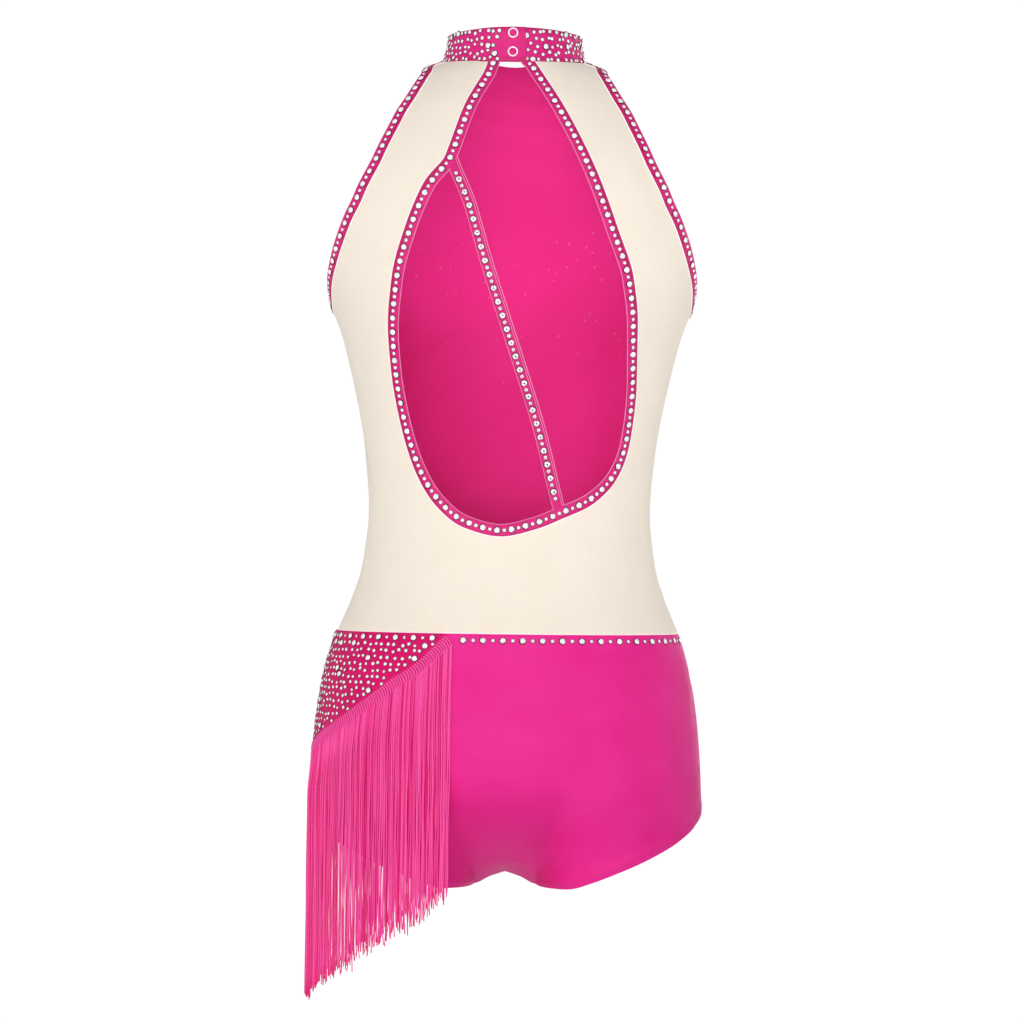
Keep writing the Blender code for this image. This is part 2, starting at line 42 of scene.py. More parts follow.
# The worn form, the same as the solids'
body = {
    "waistDrop": 455.0,
    "hipDrop": 560.0,
    "edgeDrop": 660.0,
    "sideSeam": 98.0,
    "neckSeam": (10.0, 12.0, -11.0),  # height at the back, side and front
    "neckFade": 120.0,
    "sections": (  # drop, half width, back depth, front depth, squareness
        (0, 61, 53, 53, 2.0),
        (3, 71, 54.5, 53.5, 2.0),
        (7, 82, 57, 54.5, 2.05),
        (14, 96, 61, 56, 2.1),
        (26, 112, 69, 60, 2.15),
        (43, 130, 78, 65, 2.2),
        (73, 148, 91, 76, 2.35),
        (100, 159, 97, 87, 2.4),
        (130, 162, 100, 98, 2.4),
        (160, 156.5, 101, 109, 2.4),
        (190, 147.5, 98, 116.5, 2.35),
        (215, 138.6, 95, 117, 2.3),
        (260, 127.8, 85, 108, 2.25),
        (310, 119, 76, 94, 2.2),
        (355, 115.6, 71, 86, 2.2),
        (400, 120.3, 76, 88, 2.25),
        (430, 129.5, 84, 90.5, 2.3),
        (455, 140, 92, 93, 2.35),
        (500, 152, 106, 95, 2.4),
        (545, 157.6, 113, 92, 2.4),
        (592, 160.5, 112, 84, 2.4),
    ),
    "legEdge": (  # turn, x, y, z, tuck under the body
        (0, 0, -0.4, -651, 0.97),
        (5, 13, -0.4, -655.5, 0.96),
        (10, 24, -0.6, -661, 0.93),
        (13, 29, -25, -661.5, 0.72),
        (17, 38, -52, -661, 0.58),
        (22, 52, -73, -660, 0.45),
        (28, 72, -83, -653.5, 0.35),
        (35, 93, -84, -645, 0.30),
        (45, 116, -75, -635, 0.20),
        (57, 138.5, -56, -623, 0.12),
        (70, 153, -34, -611.5, 0.07),
        (85, 160.2, -8, -600, 0.03),
        (98, 159.7, 16, -592.5, 0.03),
        (115, 147, 40, -587, 0.05),
        (128, 130, 54, -593, 0.10),
        (140, 110, 64, -604, 0.15),
        (150, 88, 71, -618, 0.20),
        (158, 66, 73, -633, 0.30),
        (164, 46, 63, -647, 0.45),
        (168, 34, 40, -656.5, 0.62),
        (171, 27, 14, -660, 0.80),
        (174, 24, 0.6, -661, 0.94),
        (177, 13, 0.4, -655.5, 0.96),
        (180, 0, 0.4, -651, 0.97),
    ),
}


def hermite(start, leave, end, arrive, t):
    rise = t * t * (3 - 2 * t)
    return start * (1 - rise) + end * rise + leave * t * (1 - t) ** 2 + arrive * t * t * (t - 1)


def smoothTable(rows):
    # a smooth function of the first column that never overshoots a row
    table = np.array(rows, float)
    at, values = table[:, 0], table[:, 1:]
    slopes = np.diff(values, axis=0) / np.diff(at)[:, None]
    before, after = slopes[:-1], slopes[1:]
    same = before * after > 0
    mean = np.zeros_like(before)
    mean[same] = 2 * before[same] * after[same] / (before[same] + after[same])
    tangents = np.vstack([slopes[:1], mean, slopes[-1:]])

    def value(x):
        x = np.asarray(x, float)
        k = np.clip(np.searchsorted(at, x) - 1, 0, len(at) - 2)
        width = (at[k + 1] - at[k])[..., None]
        t = (x - at[k])[..., None] / width
        return hermite(values[k], tangents[k] * width, values[k + 1], tangents[k + 1] * width, t)

    return value


def smoothStep(low, high, x):
    t = np.clip((x - low) / (high - low), 0, 1)
    return t * t * (3 - 2 * t)


def signedPower(value, power):
    return np.sign(value) * np.abs(value) ** power


sectionAt = smoothTable(body["sections"])
legEdgeAt = smoothTable(body["legEdge"])


def aroundNeck(heights, turn):
    across = np.sin(np.radians(turn)) ** 2
    end = np.where(np.cos(np.radians(turn)) > 0, heights[0], heights[2])
    return heights[1] * across + end * (1 - across)


def ringPoint(turn, halfWidth, backDepth, frontDepth, squareness):
    across, along = np.sin(np.radians(turn)), np.cos(np.radians(turn))
    depth = np.where(along > 0, backDepth, frontDepth)
    return halfWidth * signedPower(across, 2 / squareness), -depth * signedPower(along, 2 / squareness)


def torso(turn, drop):
    halfWidth, back, front, squareness = np.moveaxis(sectionAt(drop), -1, 0)
    x, y = ringPoint(turn, halfWidth, back, front, squareness)
    fade = 1 - smoothStep(0, body["neckFade"], drop)
    return np.stack([x, y, aroundNeck(body["neckSeam"], turn) * fade - drop], axis=-1)


def clothPoint(turn, drop):
    turn, drop = np.broadcast_arrays(np.asarray(turn, float), np.asarray(drop, float))
    hip, edge = body["hipDrop"], body["edgeDrop"]
    upper = torso(turn, np.minimum(drop, hip))
    low = drop > hip
    if not low.any():
        return upper
    start = torso(turn, np.full_like(drop, hip))
    fall = start - torso(turn, np.full_like(drop, hip - 1))
    x, y, z, tuck = np.moveaxis(legEdgeAt(np.abs((turn + 180) % 360 - 180)), -1, 0)
    end = np.stack([np.sign(np.sin(np.radians(turn))) * x, y, z], axis=-1)
    arrive = np.stack([0 * tuck, -np.sign(start[..., 1]) * tuck, -np.sqrt(1 - tuck * tuck)], axis=-1)
    reach = np.linalg.norm(end - start, axis=-1, keepdims=True)
    t = ((drop - hip) / (edge - hip))[..., None]
    lower = hermite(start, fall * reach, end, arrive * reach, t)
    return np.where(low[..., None], lower, upper)


def unit(vectors):
    return vectors / np.maximum(np.linalg.norm(vectors, axis=-1, keepdims=True), 1e-9)


def paired(first, second):
    return np.stack(np.broadcast_arrays(first, second), axis=-1)


def clothSlopes(turn, drop):
    byTurn = (clothPoint(turn + 0.4, drop) - clothPoint(turn - 0.4, drop)) / 0.8
    byDrop = (clothPoint(turn, drop + 0.6) - clothPoint(turn, drop - 0.6)) / 1.2
    return byTurn, byDrop


def clothNormal(turn, drop):
    byTurn, byDrop = clothSlopes(turn, drop)
    return unit(np.cross(byDrop, byTurn))


def clothFrame(spots):
    # the points of spots on the cloth and the directions out of it there
    turn, drop = spots[..., 0], spots[..., 1]
    return clothPoint(turn, drop), clothNormal(turn, drop)


def backSpots(xz):
    # the spots on the back that show at x and z from behind
    x, z = xz[:, 0], xz[:, 1]
    turn, drop = 0 * x, -z
    for _ in range(14):
        fade = 1 - smoothStep(0, body["neckFade"], drop)
        drop = aroundNeck(body["neckSeam"], turn) * fade - z
        halfWidth, _, _, squareness = np.moveaxis(sectionAt(drop), -1, 0)
        share = np.minimum(np.abs(x) / halfWidth, 1)
        turn = np.sign(x) * np.degrees(np.arcsin(share ** (squareness / 2)))
    return paired(turn, drop)


def drawnLine(rows, count):
    at = smoothTable([(k, *row) for k, row in enumerate(rows)])
    return at(np.linspace(0, len(rows) - 1, count))


def lineLengths(line, flat=False):
    points = clothPoint(line[:, 0], line[:, 1])
    steps = np.linalg.norm(np.diff(points[:, :2] if flat else points, axis=0), axis=1)
    return np.concatenate([[0], np.cumsum(steps)])


def sampled(line, places, flat=False):
    along = lineLengths(line, flat)
    wanted = np.asarray(places) * along[-1]
    return np.stack([np.interp(wanted, along, line[:, k]) for k in (0, 1)], axis=-1)


def evenly(line, count):
    return sampled(line, np.linspace(0, 1, count))


def aside(line, distance):
    # the line moved sideways on the cloth, to its left as seen from outside
    spots = line.copy()
    start = clothPoint(*line.T)
    travel = np.gradient(start, axis=0)
    target = start + unit(np.cross(clothNormal(*line.T), travel)) * distance
    for step in range(4):
        miss = target - clothPoint(*spots.T)
        byTurn, byDrop = clothSlopes(*spots.T)
        a, b, c = (byTurn**2).sum(1), (byTurn * byDrop).sum(1), (byDrop**2).sum(1)
        p, q = (miss * byTurn).sum(1), (miss * byDrop).sum(1)
        move = paired(p * c - q * b, q * a - p * b) / (a * c - b * b)[:, None]
        if step:
            move[line[:, 1] <= 0] = 0  # above the neck seam one step is enough
        spots += move
    return spots


def belowNeck(line, top=0.1):
    inside = np.flatnonzero(line[:, 1] > top)
    first, last = inside[0], inside[-1]

    def cut(above, below):
        return above + (below - above) * (top - above[1]) / (below[1] - above[1])

    start, end = cut(line[first - 1], line[first]), cut(line[last + 1], line[last])
    return np.vstack([start, line[first : last + 1], end])


def ruled(first, last, count):
    share = np.linspace(0, 1, count)[:, None, None]
    return first * (1 - share) + last * share


def mirrored(spots):
    return spots * np.array([-1, 1])


print("worn form ready")


# Shader sockets as plain values
class Socket:
    def __init__(self, look, link):
        self.look, self.link = look, link

    def maths(self, operation, a, b):
        return self.look.node("Math", {"operation": operation}, {0: a, 1: b})

    def __add__(self, other):
        return self.maths("ADD", self, other)

    def __sub__(self, other):
        return self.maths("SUBTRACT", self, other)

    def __rsub__(self, other):
        return self.maths("SUBTRACT", other, self)

    def __mul__(self, other):
        return self.maths("MULTIPLY", self, other)

    __radd__ = __add__
    __rmul__ = __mul__


class Look:
    def __init__(self, name, **fixed):
        self.material = bpy.data.materials.new(name)
        self.material.use_nodes = True
        self.tree = self.material.node_tree
        self.shader = self.tree.nodes["Principled BSDF"]
        self.set(**fixed)

    def put(self, socket, value):
        if isinstance(value, Socket):
            self.tree.links.new(value.link, socket)
        elif hasattr(socket.default_value, "__len__") and len(socket.default_value) == 4:
            socket.default_value = (*value[:3], 1)
        else:
            socket.default_value = value

    def node(self, kind, settings=None, inputs=None, output=0):
        made = self.tree.nodes.new("ShaderNode" + kind)
        for key, value in (settings or {}).items():
            setattr(made, key, value)
        for key, value in (inputs or {}).items():
            self.put(made.inputs[key], value)
        return Socket(self, made.outputs[output])

    def set(self, **varying):
        for socket, value in varying.items():
            self.put(self.shader.inputs[socketNames[socket]], value)
        return self.material

    def cloth(self):
        # the two directions of the cloth in millimetres
        place = self.node("TexCoord", output="UV")
        along = self.node("SeparateXYZ", inputs={0: place}, output="X")
        down = self.node("SeparateXYZ", inputs={0: place}, output="Y")
        return place, along, down

    def sine(self, value):
        return self.node("Math", {"operation": "SINE"}, {0: value})

    def wave(self, value, pitch):
        return self.sine(value * (2 * math.pi / pitch))

    def noise(self, place, scale, detail, roughness):
        inputs = {"Vector": place, "Scale": scale, "Detail": detail, "Roughness": roughness}
        return self.node("TexNoise", inputs=inputs)

    def stretched(self, place, shares):
        return self.node("VectorMath", {"operation": "MULTIPLY"}, {0: place, 1: shares})

    def fade(self, value, low, high):
        return self.node("MapRange", {"clamp": True}, {0: value, 1: low, 2: high, 3: 0.0, 4: 1.0})

    def blend(self, share, first, second):
        return self.node("Mix", {"data_type": "RGBA"}, {0: share, 6: first, 7: second}, output=2)

    def bump(self, height, distance, strength):
        return self.node("Bump", inputs={"Height": height, "Distance": distance, "Strength": strength})


socketNames = {
    "colour": "Base Color",
    "roughness": "Roughness",
    "metallic": "Metallic",
    "specular": "Specular IOR Level",
    "sheen": "Sheen Weight",
    "sheenRoughness": "Sheen Roughness",
    "sheenTint": "Sheen Tint",
    "coat": "Coat Weight",
    "glow": "Emission Strength",
    "glowColour": "Emission Color",
    "coatRoughness": "Coat Roughness",
    "ior": "IOR",
    "normal": "Normal",
}

# Colours and scales of every finish
finish = {
    "satinLight": (0.885, 0.033, 0.325),
    "satinDark": (0.81, 0.015, 0.25),
    "reverse": (0.92, 0.028, 0.31),
    "reverseDark": (0.86, 0.020, 0.26),
    "glue": (0.96, 0.085, 0.38),
    "band": (0.84, 0.010, 0.25),
    "bandDark": (0.50, 0.004, 0.12),
    "yoke": (0.78, 0.004, 0.16),
    "mesh": (0.93, 0.84, 0.725),
    "meshHole": (0.87, 0.76, 0.63),
    "yarnLight": (1.0, 0.13, 0.50),
    "yarnDark": (0.74, 0.003, 0.15),
    "yarnGlow": (0.9, 0.02, 0.22),
    "thread": (0.84, 0.022, 0.27),
    # pale cords along the strap's edges and the binding's inner edge: partly piping, partly painted highlight
    "paleCordHighlight": (0.97, 0.34, 0.60),
    # painted highlight: the near-white cords along the seams
    "seamHighlightCord": (1.0, 0.95, 0.94),
    "nudeThread": (0.86, 0.74, 0.62),
    "metal": (0.88, 0.86, 0.89),
    "stone": (1.0, 0.96, 0.98),
    # painted shade for some facets of every stone
    "stoneShade": (0.60, 0.48, 0.55),
    # painted reflection: the dark table of the strap's large stones
    "stoneTableReflection": (0.16, 0.10, 0.13),
    # dark rim round each stone's base: partly its outline, partly painted shadow
    "stoneRimAndShadow": (0.05, 0.003, 0.015),
    "walePitch": 0.9,  # one knitted wale of the satin
    "coursePitch": 0.72,
    "reversePitch": 0.8,
    "meshPitch": 1.3,  # one hole of the power mesh
    "ribPitch": 0.8,  # the doubled cloth of the bands
    "pinPitch": 1.7,  # pin dots of the strap
    "yarnTwist": 1.7,  # one turn of a fringe yarn
    "braidTwist": 1.1,
}


def satinLook(name, light, dark):
    look = Look(name, specular=0.13, sheen=0.03, sheenRoughness=0.4, sheenTint=(1.0, 0.25, 0.55))
    place, along, down = look.cloth()
    wale = look.wave(along, finish["walePitch"])
    course = look.sine(down * (2 * math.pi / finish["coursePitch"]) + wale * 0.8)
    grain = look.noise(place, 0.9, 3, 0.6)
    drift = look.noise(place, 0.02, 2, 0.5)
    share = drift * 0.7 + grain * 0.2 + wale * 0.05
    return look.set(
        colour=look.blend(look.fade(share, 0.25, 0.75), dark, light),
        roughness=0.5 + look.fade(grain, 0.3, 0.7) * 0.08,
        normal=look.bump(wale * 0.5 + course * 0.35 + grain * 0.6, 0.00012, 0.5),
    )


def meshLook():
    look = Look("powerMesh", specular=0.1, sheen=0.6, sheenRoughness=0.6, sheenTint=(1.0, 0.93, 0.85))
    place, along, down = look.cloth()
    step = 2 * math.pi / finish["meshPitch"]
    rows = look.sine(along * step) * look.sine(down * (step * 0.62))
    cross = look.sine((along + down * 0.6) * (step * 0.5)) * look.sine((along - down * 0.6) * (step * 0.5))
    holes = look.fade(rows * 0.5 + cross * 0.6, 0.1, 0.9)
    drift = look.noise(place, 0.035, 3, 0.55)
    streaks = look.noise(look.stretched(place, (1.0, 0.06, 1.0)), 0.5, 2, 0.5)
    share = holes * 0.4 + look.fade(drift, 0.45, 0.75) * 0.22 + look.fade(streaks, 0.5, 0.8) * 0.2
    return look.set(
        colour=look.blend(share, finish["mesh"], finish["meshHole"]),
        roughness=0.78 - holes * 0.1,
        normal=look.bump(1 - holes + streaks * 0.5, 0.00018, 0.5),
    )


def reverseLook():
    # the matt back of the satin
    look = Look("satinReverse", specular=0.2, sheen=0.3, sheenRoughness=0.5, sheenTint=(1.0, 0.5, 0.7))
    place, _, down = look.cloth()
    course = look.wave(down, finish["reversePitch"])
    grain = look.noise(place, 0.7, 3, 0.6)
    drift = look.noise(place, 0.012, 2, 0.5)
    share = look.fade(drift * 0.8 + grain * 0.2, 0.3, 0.7)
    return look.set(
        colour=look.blend(share, finish["reverseDark"], finish["reverse"]),
        roughness=0.62 + look.fade(grain, 0.3, 0.7) * 0.1,
        normal=look.bump(course * 0.4 + grain, 0.0001, 0.5),
    )


def bandLook(name, width, dots=0.0):
    # doubled stretch cloth, darker along its two edges as painted shade; the strap's has rows of pin dots
    look = Look(name, specular=0.3, sheen=0.06, sheenRoughness=0.4, sheenTint=(1.0, 0.4, 0.7))
    place, along, down = look.cloth()
    grain = look.noise(place, 1.1, 3, 0.6)
    rib = look.wave(along, finish["ribPitch"])
    pins = look.wave(along, finish["pinPitch"]) * look.wave(down, finish["pinPitch"])
    pin = look.fade(pins, 0.35, 0.8) * dots
    fromMiddle = look.node("Math", {"operation": "ABSOLUTE"}, {0: down - width / 2})
    # painted shade: the colour darkens towards both edges of the band
    edge = look.fade(fromMiddle, width * 0.32, width * 0.5)
    share = (look.fade(grain, 0.3, 0.75) * 0.5 + 0.5) * (1 - pin * 0.6) * (1 - edge * 0.85)
    return look.set(
        colour=look.blend(share, finish["bandDark"], finish["band"]),
        roughness=0.42 + look.fade(grain, 0.3, 0.7) * 0.1 + pin * 0.1,
        normal=look.bump(rib * 0.35 + grain * 0.6 - pin, 0.00016, 0.55),
    )


def yarnLook(name, twist, depth=0.0):
    # the glow stands for light through the yarn
    look = Look(name, specular=0.28, roughness=0.45, glow=0.12, glowColour=finish["yarnGlow"])
    place, along, down = look.cloth()
    ply = look.sine(down * (2 * math.pi / twist) + along * (2 * math.pi))
    # the attribute carries the random tone of the fringe yarns and the painted shade in the braid's grooves
    toneAndShade = look.node("Attribute", {"attribute_name": "toneAndShade"}, output=2)
    # painted shade: one side of each yarn is darker, as much as depth asks
    sideShade = look.fade(look.sine(along * (2 * math.pi)), -0.1, 0.95)
    hair = look.noise(look.stretched(place, (3.0, 1.0, 1.0)), 1.5, 2, 0.6)
    share = look.fade(ply * 0.1 + toneAndShade + hair * 0.45 + sideShade * depth, 0.15, 1.1)
    return look.set(
        colour=look.blend(share, finish["yarnDark"], finish["yarnLight"]),
        normal=look.bump(ply * 0.8 + hair * 0.4, 0.0003, 0.7),
    )


def shaded(colour, share):
    return tuple(part * share for part in colour)


def threadLook(name, colour, specular=0.4, glow=0.0):
    look = Look(name, specular=specular, roughness=0.45, glow=glow, glowColour=(1.0, 1.0, 1.0))
    place = look.node("TexCoord", output="Object")
    hair = look.noise(place, 2600.0, 2, 0.6)
    return look.set(
        colour=look.blend(look.fade(hair, 0.3, 0.7), shaded(colour, 0.82), colour),
        normal=look.bump(hair, 0.00008, 0.6),
    )


def stoneLook(name, colour, roughness, metallic, glow=0.0):
    look = Look(name, specular=0.9, coat=0.8, coatRoughness=0.03, ior=1.6, metallic=metallic)
    look.set(glow=glow, glowColour=(1.0, 1.0, 1.0))
    place = look.node("TexCoord", output="Object")
    # painted sparkle: fine noise makes the colour lighter and darker in spots
    paintedSparkle = look.noise(place, 420.0, 1, 0.5)
    return look.set(
        colour=look.blend(look.fade(paintedSparkle, 0.35, 0.65), shaded(colour, 0.9), colour),
        roughness=roughness + paintedSparkle * 0.05,
    )


def metalLook():
    # painted light: the metal glows a little white
    look = Look("snapMetal", specular=0.6, metallic=0.4, glow=0.12, glowColour=(1.0, 1.0, 1.0))
    place = look.node("TexCoord", output="Object")
    rub = look.noise(place, 900.0, 3, 0.6)
    return look.set(
        colour=look.blend(rub, shaded(finish["metal"], 0.9), finish["metal"]),
        roughness=0.18 + rub * 0.14,
        normal=look.bump(rub, 0.00004, 0.4),
    )


looks = {
    "satin": satinLook("pinkSatin", finish["satinLight"], finish["satinDark"]),
    "reverse": reverseLook(),
    "mesh": meshLook(),
    "band": bandLook("bandCloth", 10.0),
    "collar": bandLook("collarCloth", 26.0),
    "strap": bandLook("strapCloth", 10.0, dots=1.0),
    "yoke": satinLook("yokeCloth", finish["yoke"], shaded(finish["yoke"], 0.8)),
    "yarn": yarnLook("fringeYarn", finish["yarnTwist"], depth=0.5),
    "braid": yarnLook("braidYarn", finish["braidTwist"]),
    "thread": threadLook("pinkThread", finish["thread"]),
    "paleCordHighlight": threadLook("paleCordHighlight", finish["paleCordHighlight"]),
    "nudeThread": threadLook("nudeThread", finish["nudeThread"]),
    # painted light: the white facets glow a little
    "stone": stoneLook("stoneFacets", finish["stone"], 0.06, 0.0, 0.06),
    "stoneShade": stoneLook("stoneShade", finish["stoneShade"], 0.08, 0.2),
    "stoneTableReflection": stoneLook("stoneTableReflection", finish["stoneTableReflection"], 0.1, 0.4),
    "stoneRimAndShadow": threadLook("stoneRimAndShadow", finish["stoneRimAndShadow"], 0.1),
    "glue": threadLook("glueBacks", finish["glue"]),
    # painted highlight: pale cords that glow, for the bright lines along the seams
    "seamHighlightCord": threadLook("seamHighlight", finish["seamHighlightCord"], 0.3, 0.2),
    "metal": metalLook(),
}
print("finishes ready")


def makePiece(name, points, faces, lookNames, faceLooks=None, uv=None, smooth=True, toneAndShade=None):
    mesh = bpy.data.meshes.new(name)
    mesh.from_pydata((np.asarray(points) * 0.001).tolist(), [], [list(map(int, face)) for face in faces])
    for lookName in lookNames:
        mesh.materials.append(looks[lookName])
    if faceLooks is not None:
        mesh.polygons.foreach_set("material_index", np.asarray(faceLooks, np.int32))
    if uv is not None:
        layer = mesh.uv_layers.new(name="cloth")
        corner = np.zeros(len(mesh.loops), np.int32)
        mesh.loops.foreach_get("vertex_index", corner)
        layer.data.foreach_set("uv", np.asarray(uv, np.float32)[corner].ravel())
    if toneAndShade is not None:
        layer = mesh.attributes.new("toneAndShade", "FLOAT", "POINT")
        layer.data.foreach_set("value", np.asarray(toneAndShade, np.float32))
    if smooth:
        mesh.shade_smooth()
        mesh.set_sharp_from_angle(angle=math.radians(50))
    piece = bpy.data.objects.new(name, mesh)
    bpy.context.scene.collection.objects.link(piece)
    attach(piece, "root")
    return piece


def gridFaces(rows, columns):
    row, column = np.meshgrid(np.arange(rows - 1), np.arange(columns - 1), indexing="ij")
    corner = (row * columns + column).ravel()
    return np.stack([corner, corner + 1, corner + columns + 1, corner + columns], axis=1)


def clothShell(name, points, normals, lift, thickness, lookNames, uv):
    # an outer and an inner face joined by a rim; the outer face wears the first look
    rows, columns = points.shape[:2]
    lift = np.broadcast_to(lift, (rows, columns))[..., None]
    thickness = np.broadcast_to(thickness, (rows, columns))[..., None]
    outer = (points + normals * lift).reshape(-1, 3)
    inner = (points + normals * (lift - thickness)).reshape(-1, 3)
    front = gridFaces(rows, columns)
    index = np.arange(rows * columns).reshape(rows, columns)
    edge = np.concatenate([index[0], index[1:, -1], index[-1, -2::-1], index[-2::-1, 0]])
    back = rows * columns
    rim = np.stack([edge[:-1], edge[:-1] + back, edge[1:] + back, edge[1:]], axis=1)
    faces = np.vstack([front, front[:, ::-1] + back, rim])
    a, b, c = (outer[front[:, k]] for k in range(3))
    if (np.cross(b - a, c - a) * normals.reshape(-1, 3)[front[:, 0]]).sum() < 0:
        faces = faces[:, ::-1]
    faceLooks = np.repeat([0, len(lookNames) - 1, 0], [len(front), len(front), len(rim)])
    uv = np.asarray(uv).reshape(-1, 2)
    return makePiece(name, np.vstack([outer, inner]), faces, lookNames, faceLooks, np.vstack([uv, uv]))


def clothMillimetres(spots):
    # directions of the cloth in millimetres, for the knit
    turn, drop = spots[..., 0], spots[..., 1]
    section = sectionAt(np.minimum(drop, body["hipDrop"]))
    radius = section[..., 0] * 0.5 + (section[..., 1] + section[..., 2]) * 0.25
    return paired(np.radians(turn) * radius, drop)


def creaseLift(spots, creases):
    # soft troughs and ridges: start, end, half width and height in millimetres
    place = clothMillimetres(spots)
    total = np.zeros(spots.shape[:-1])
    for turnA, dropA, turnB, dropB, width, height in creases:
        a, b = (clothMillimetres(np.array([t, d], float)) for t, d in ((turnA, dropA), (turnB, dropB)))
        run = b - a
        share = np.clip(((place - a) * run).sum(-1) / (run * run).sum(), 0, 1)
        bend = np.sin(share * math.pi) * width * 0.5
        side = np.array([-run[1], run[0]]) / math.hypot(*run)
        gap = np.linalg.norm(place - a - share[..., None] * run - bend[..., None] * side, axis=-1)
        total += height * np.exp(-((gap / width) ** 2)) * (0.35 + 0.65 * np.sin(share * math.pi))
    return total


def relaxed(points, normals, share):
    # smooths the cloth where share is above 0, as stretch cloth bridges a small hollow
    moved = points.copy()
    for _ in range(160):
        middle = np.zeros_like(moved)
        around = moved[:-2, 1:-1] + moved[2:, 1:-1] + moved[1:-1, :-2] + moved[1:-1, 2:]
        middle[1:-1, 1:-1] = around / 4 - moved[1:-1, 1:-1]
        moved += normals * ((middle * normals).sum(-1) * share * 0.8)[..., None]
    down, across = np.gradient(moved, axis=0), np.gradient(moved, axis=1)
    fresh = unit(np.cross(down, across))
    fresh *= np.sign((fresh * normals).sum(-1, keepdims=True))
    return moved, unit(fresh * share[..., None] + normals * (1 - share[..., None]))


def clothPiece(name, spots, lift, thickness, lookNames, creases=(), extra=0.0, relax=None):
    height = lift + extra + creaseLift(spots, creases)
    points, normals = clothFrame(spots)
    if relax is not None:
        points, normals = relaxed(points, normals, relax)
    return clothShell(name, points, normals, height, thickness, lookNames, clothMillimetres(spots))


binding = {"width": 10.0, "rows": 9, "lift": 0.4, "thick": 1.7, "crown": 0.25}


def bindingPiece(name, first, last):
    # a doubled band between two lines, slightly crowned, with soft folded edges
    share = np.linspace(-1, 1, binding["rows"])[:, None]
    height = binding["lift"] + binding["crown"] * (1 - share**4) - 0.45 * share**10
    depth = binding["thick"] - 0.9 * share**10
    width = np.linalg.norm(clothPoint(*first.T) - clothPoint(*last.T), axis=1)
    uv = paired(lineLengths((first + last) / 2), (share + 1) * 0.5 * width)
    points, normals = clothFrame(ruled(first, last, binding["rows"]))
    return clothShell(name, points, normals, height, depth, ["band"], uv)


def placeMany(name, template, faces, faceLooks, lookNames, centres, along, up, sizes, smooth=False):
    # copies of one small shape, joined: template is along, side, up in units of its size
    up = unit(up)
    along = unit(along - up * (along * up).sum(-1, keepdims=True))
    side = np.cross(up, along)
    axes = np.stack([along, side, up], axis=1) * np.asarray(sizes)[:, None, None]
    points = np.einsum("vk,nkc->nvc", template, axes) + centres[:, None, :]
    count, each = len(centres), len(template)
    copied = [tuple(corner + n * each for corner in face) for n in range(count) for face in faces]
    return makePiece(name, points.reshape(-1, 3), copied, lookNames, np.tile(faceLooks, count), smooth=smooth)


def ringsRound(middle, first, second, radius, sides):
    # rings of points round the points of a line, in the plane of two directions
    angle = 2 * math.pi * np.arange(sides) / sides
    ring = first[..., None, :] * np.cos(angle)[:, None] + second[..., None, :] * np.sin(angle)[:, None]
    return middle[..., None, :] + ring * radius


def tubeFaces(rings, sides):
    ring, corner = (k.ravel() for k in np.meshgrid(np.arange(rings - 1), np.arange(sides), indexing="ij"))
    here, beside = ring * sides + corner, ring * sides + (corner + 1) % sides
    return np.stack([here, beside, beside + sides, here + sides], axis=1)


# Stones and stitches
stone = {
    "large": 4.9,
    "small": 3.0,
    "pitch": 5.85,  # along the bands
    "rim": 0.63,  # from here on in shares of the stone's size
    "girdle": 0.08,
    "table": 0.52,
    "deepTable": 0.3,
    "height": 0.24,
}
stitch = {"pitch": 3.1, "length": 2.2, "thick": 0.42}
facetLooks = ["stone", "stoneShade", "stoneTableReflection", "stoneRimAndShadow"]


def stoneTemplate(darkTable):
    points, faces, looksOf = [], [], []
    for k in range(16):
        angle = 2 * math.pi * k / 16
        for height, radius in ((-0.05, stone["rim"]), (0.02, stone["rim"] - 0.02), (stone["girdle"], 0.48)):
            points.append((math.cos(angle) * radius, math.sin(angle) * radius, height))
    for k in range(8):
        angle = 2 * math.pi * k / 8
        radius = stone["deepTable" if darkTable else "table"] / 2
        points.append((math.cos(angle) * radius, math.sin(angle) * radius, stone["height"]))
    # the rim and the girdle wear the dark rim look: partly the stone's outline, partly painted shadow round
    # it
    for k in range(16):
        low, lowNext = 3 * k, 3 * ((k + 1) % 16)
        faces += [(low, lowNext, lowNext + 1, low + 1), (low + 1, lowNext + 1, lowNext + 2, low + 2)]
        looksOf += [3, 3]
    # painted shade: these facets wear the darker stoneShade look
    shaded = (1, 3, 6)  # facets that face away from the light
    for k in range(8):
        top, topNext = 48 + k, 48 + (k + 1) % 8
        before, here, after = (3 * ((2 * k - 1) % 16) + 2, 6 * k + 2, 3 * ((2 * k + 1) % 16) + 2)
        faces += [(before, here, top), (here, after, top), (top, after, topNext)]
        looksOf += [0, 0, 0] if k not in shaded else [1, 0, 0]
    # painted reflection: a stone with a dark table wears the dark look on its table
    faces.append(tuple(range(48, 56)))
    looksOf.append(2 if darkTable else 0)
    return np.array(points), faces, looksOf


def stitchTemplate():
    points = []
    thick = stitch["thick"] / stitch["length"]
    for along, size in ((-0.5, 0.35), (-0.3, 0.95), (0.0, 1.0), (0.3, 0.95), (0.5, 0.35)):
        for k in range(5):
            angle = 2 * math.pi * k / 5
            sunk = -0.5 * thick if size < 0.5 else 0.0  # the ends go into the cloth
            radius = size * thick / 2
            points.append((along, math.cos(angle) * radius, math.sin(angle) * radius + sunk))
    return np.array(points), [*tubeFaces(5, 5), (4, 3, 2, 1, 0), (20, 21, 22, 23, 24)]


def stonesOnSpots(name, spots, lift, sizes, darkTable=False):
    points, normals = clothFrame(spots)
    return stonesAt(name, points + normals * lift, normals, sizes, darkTable)


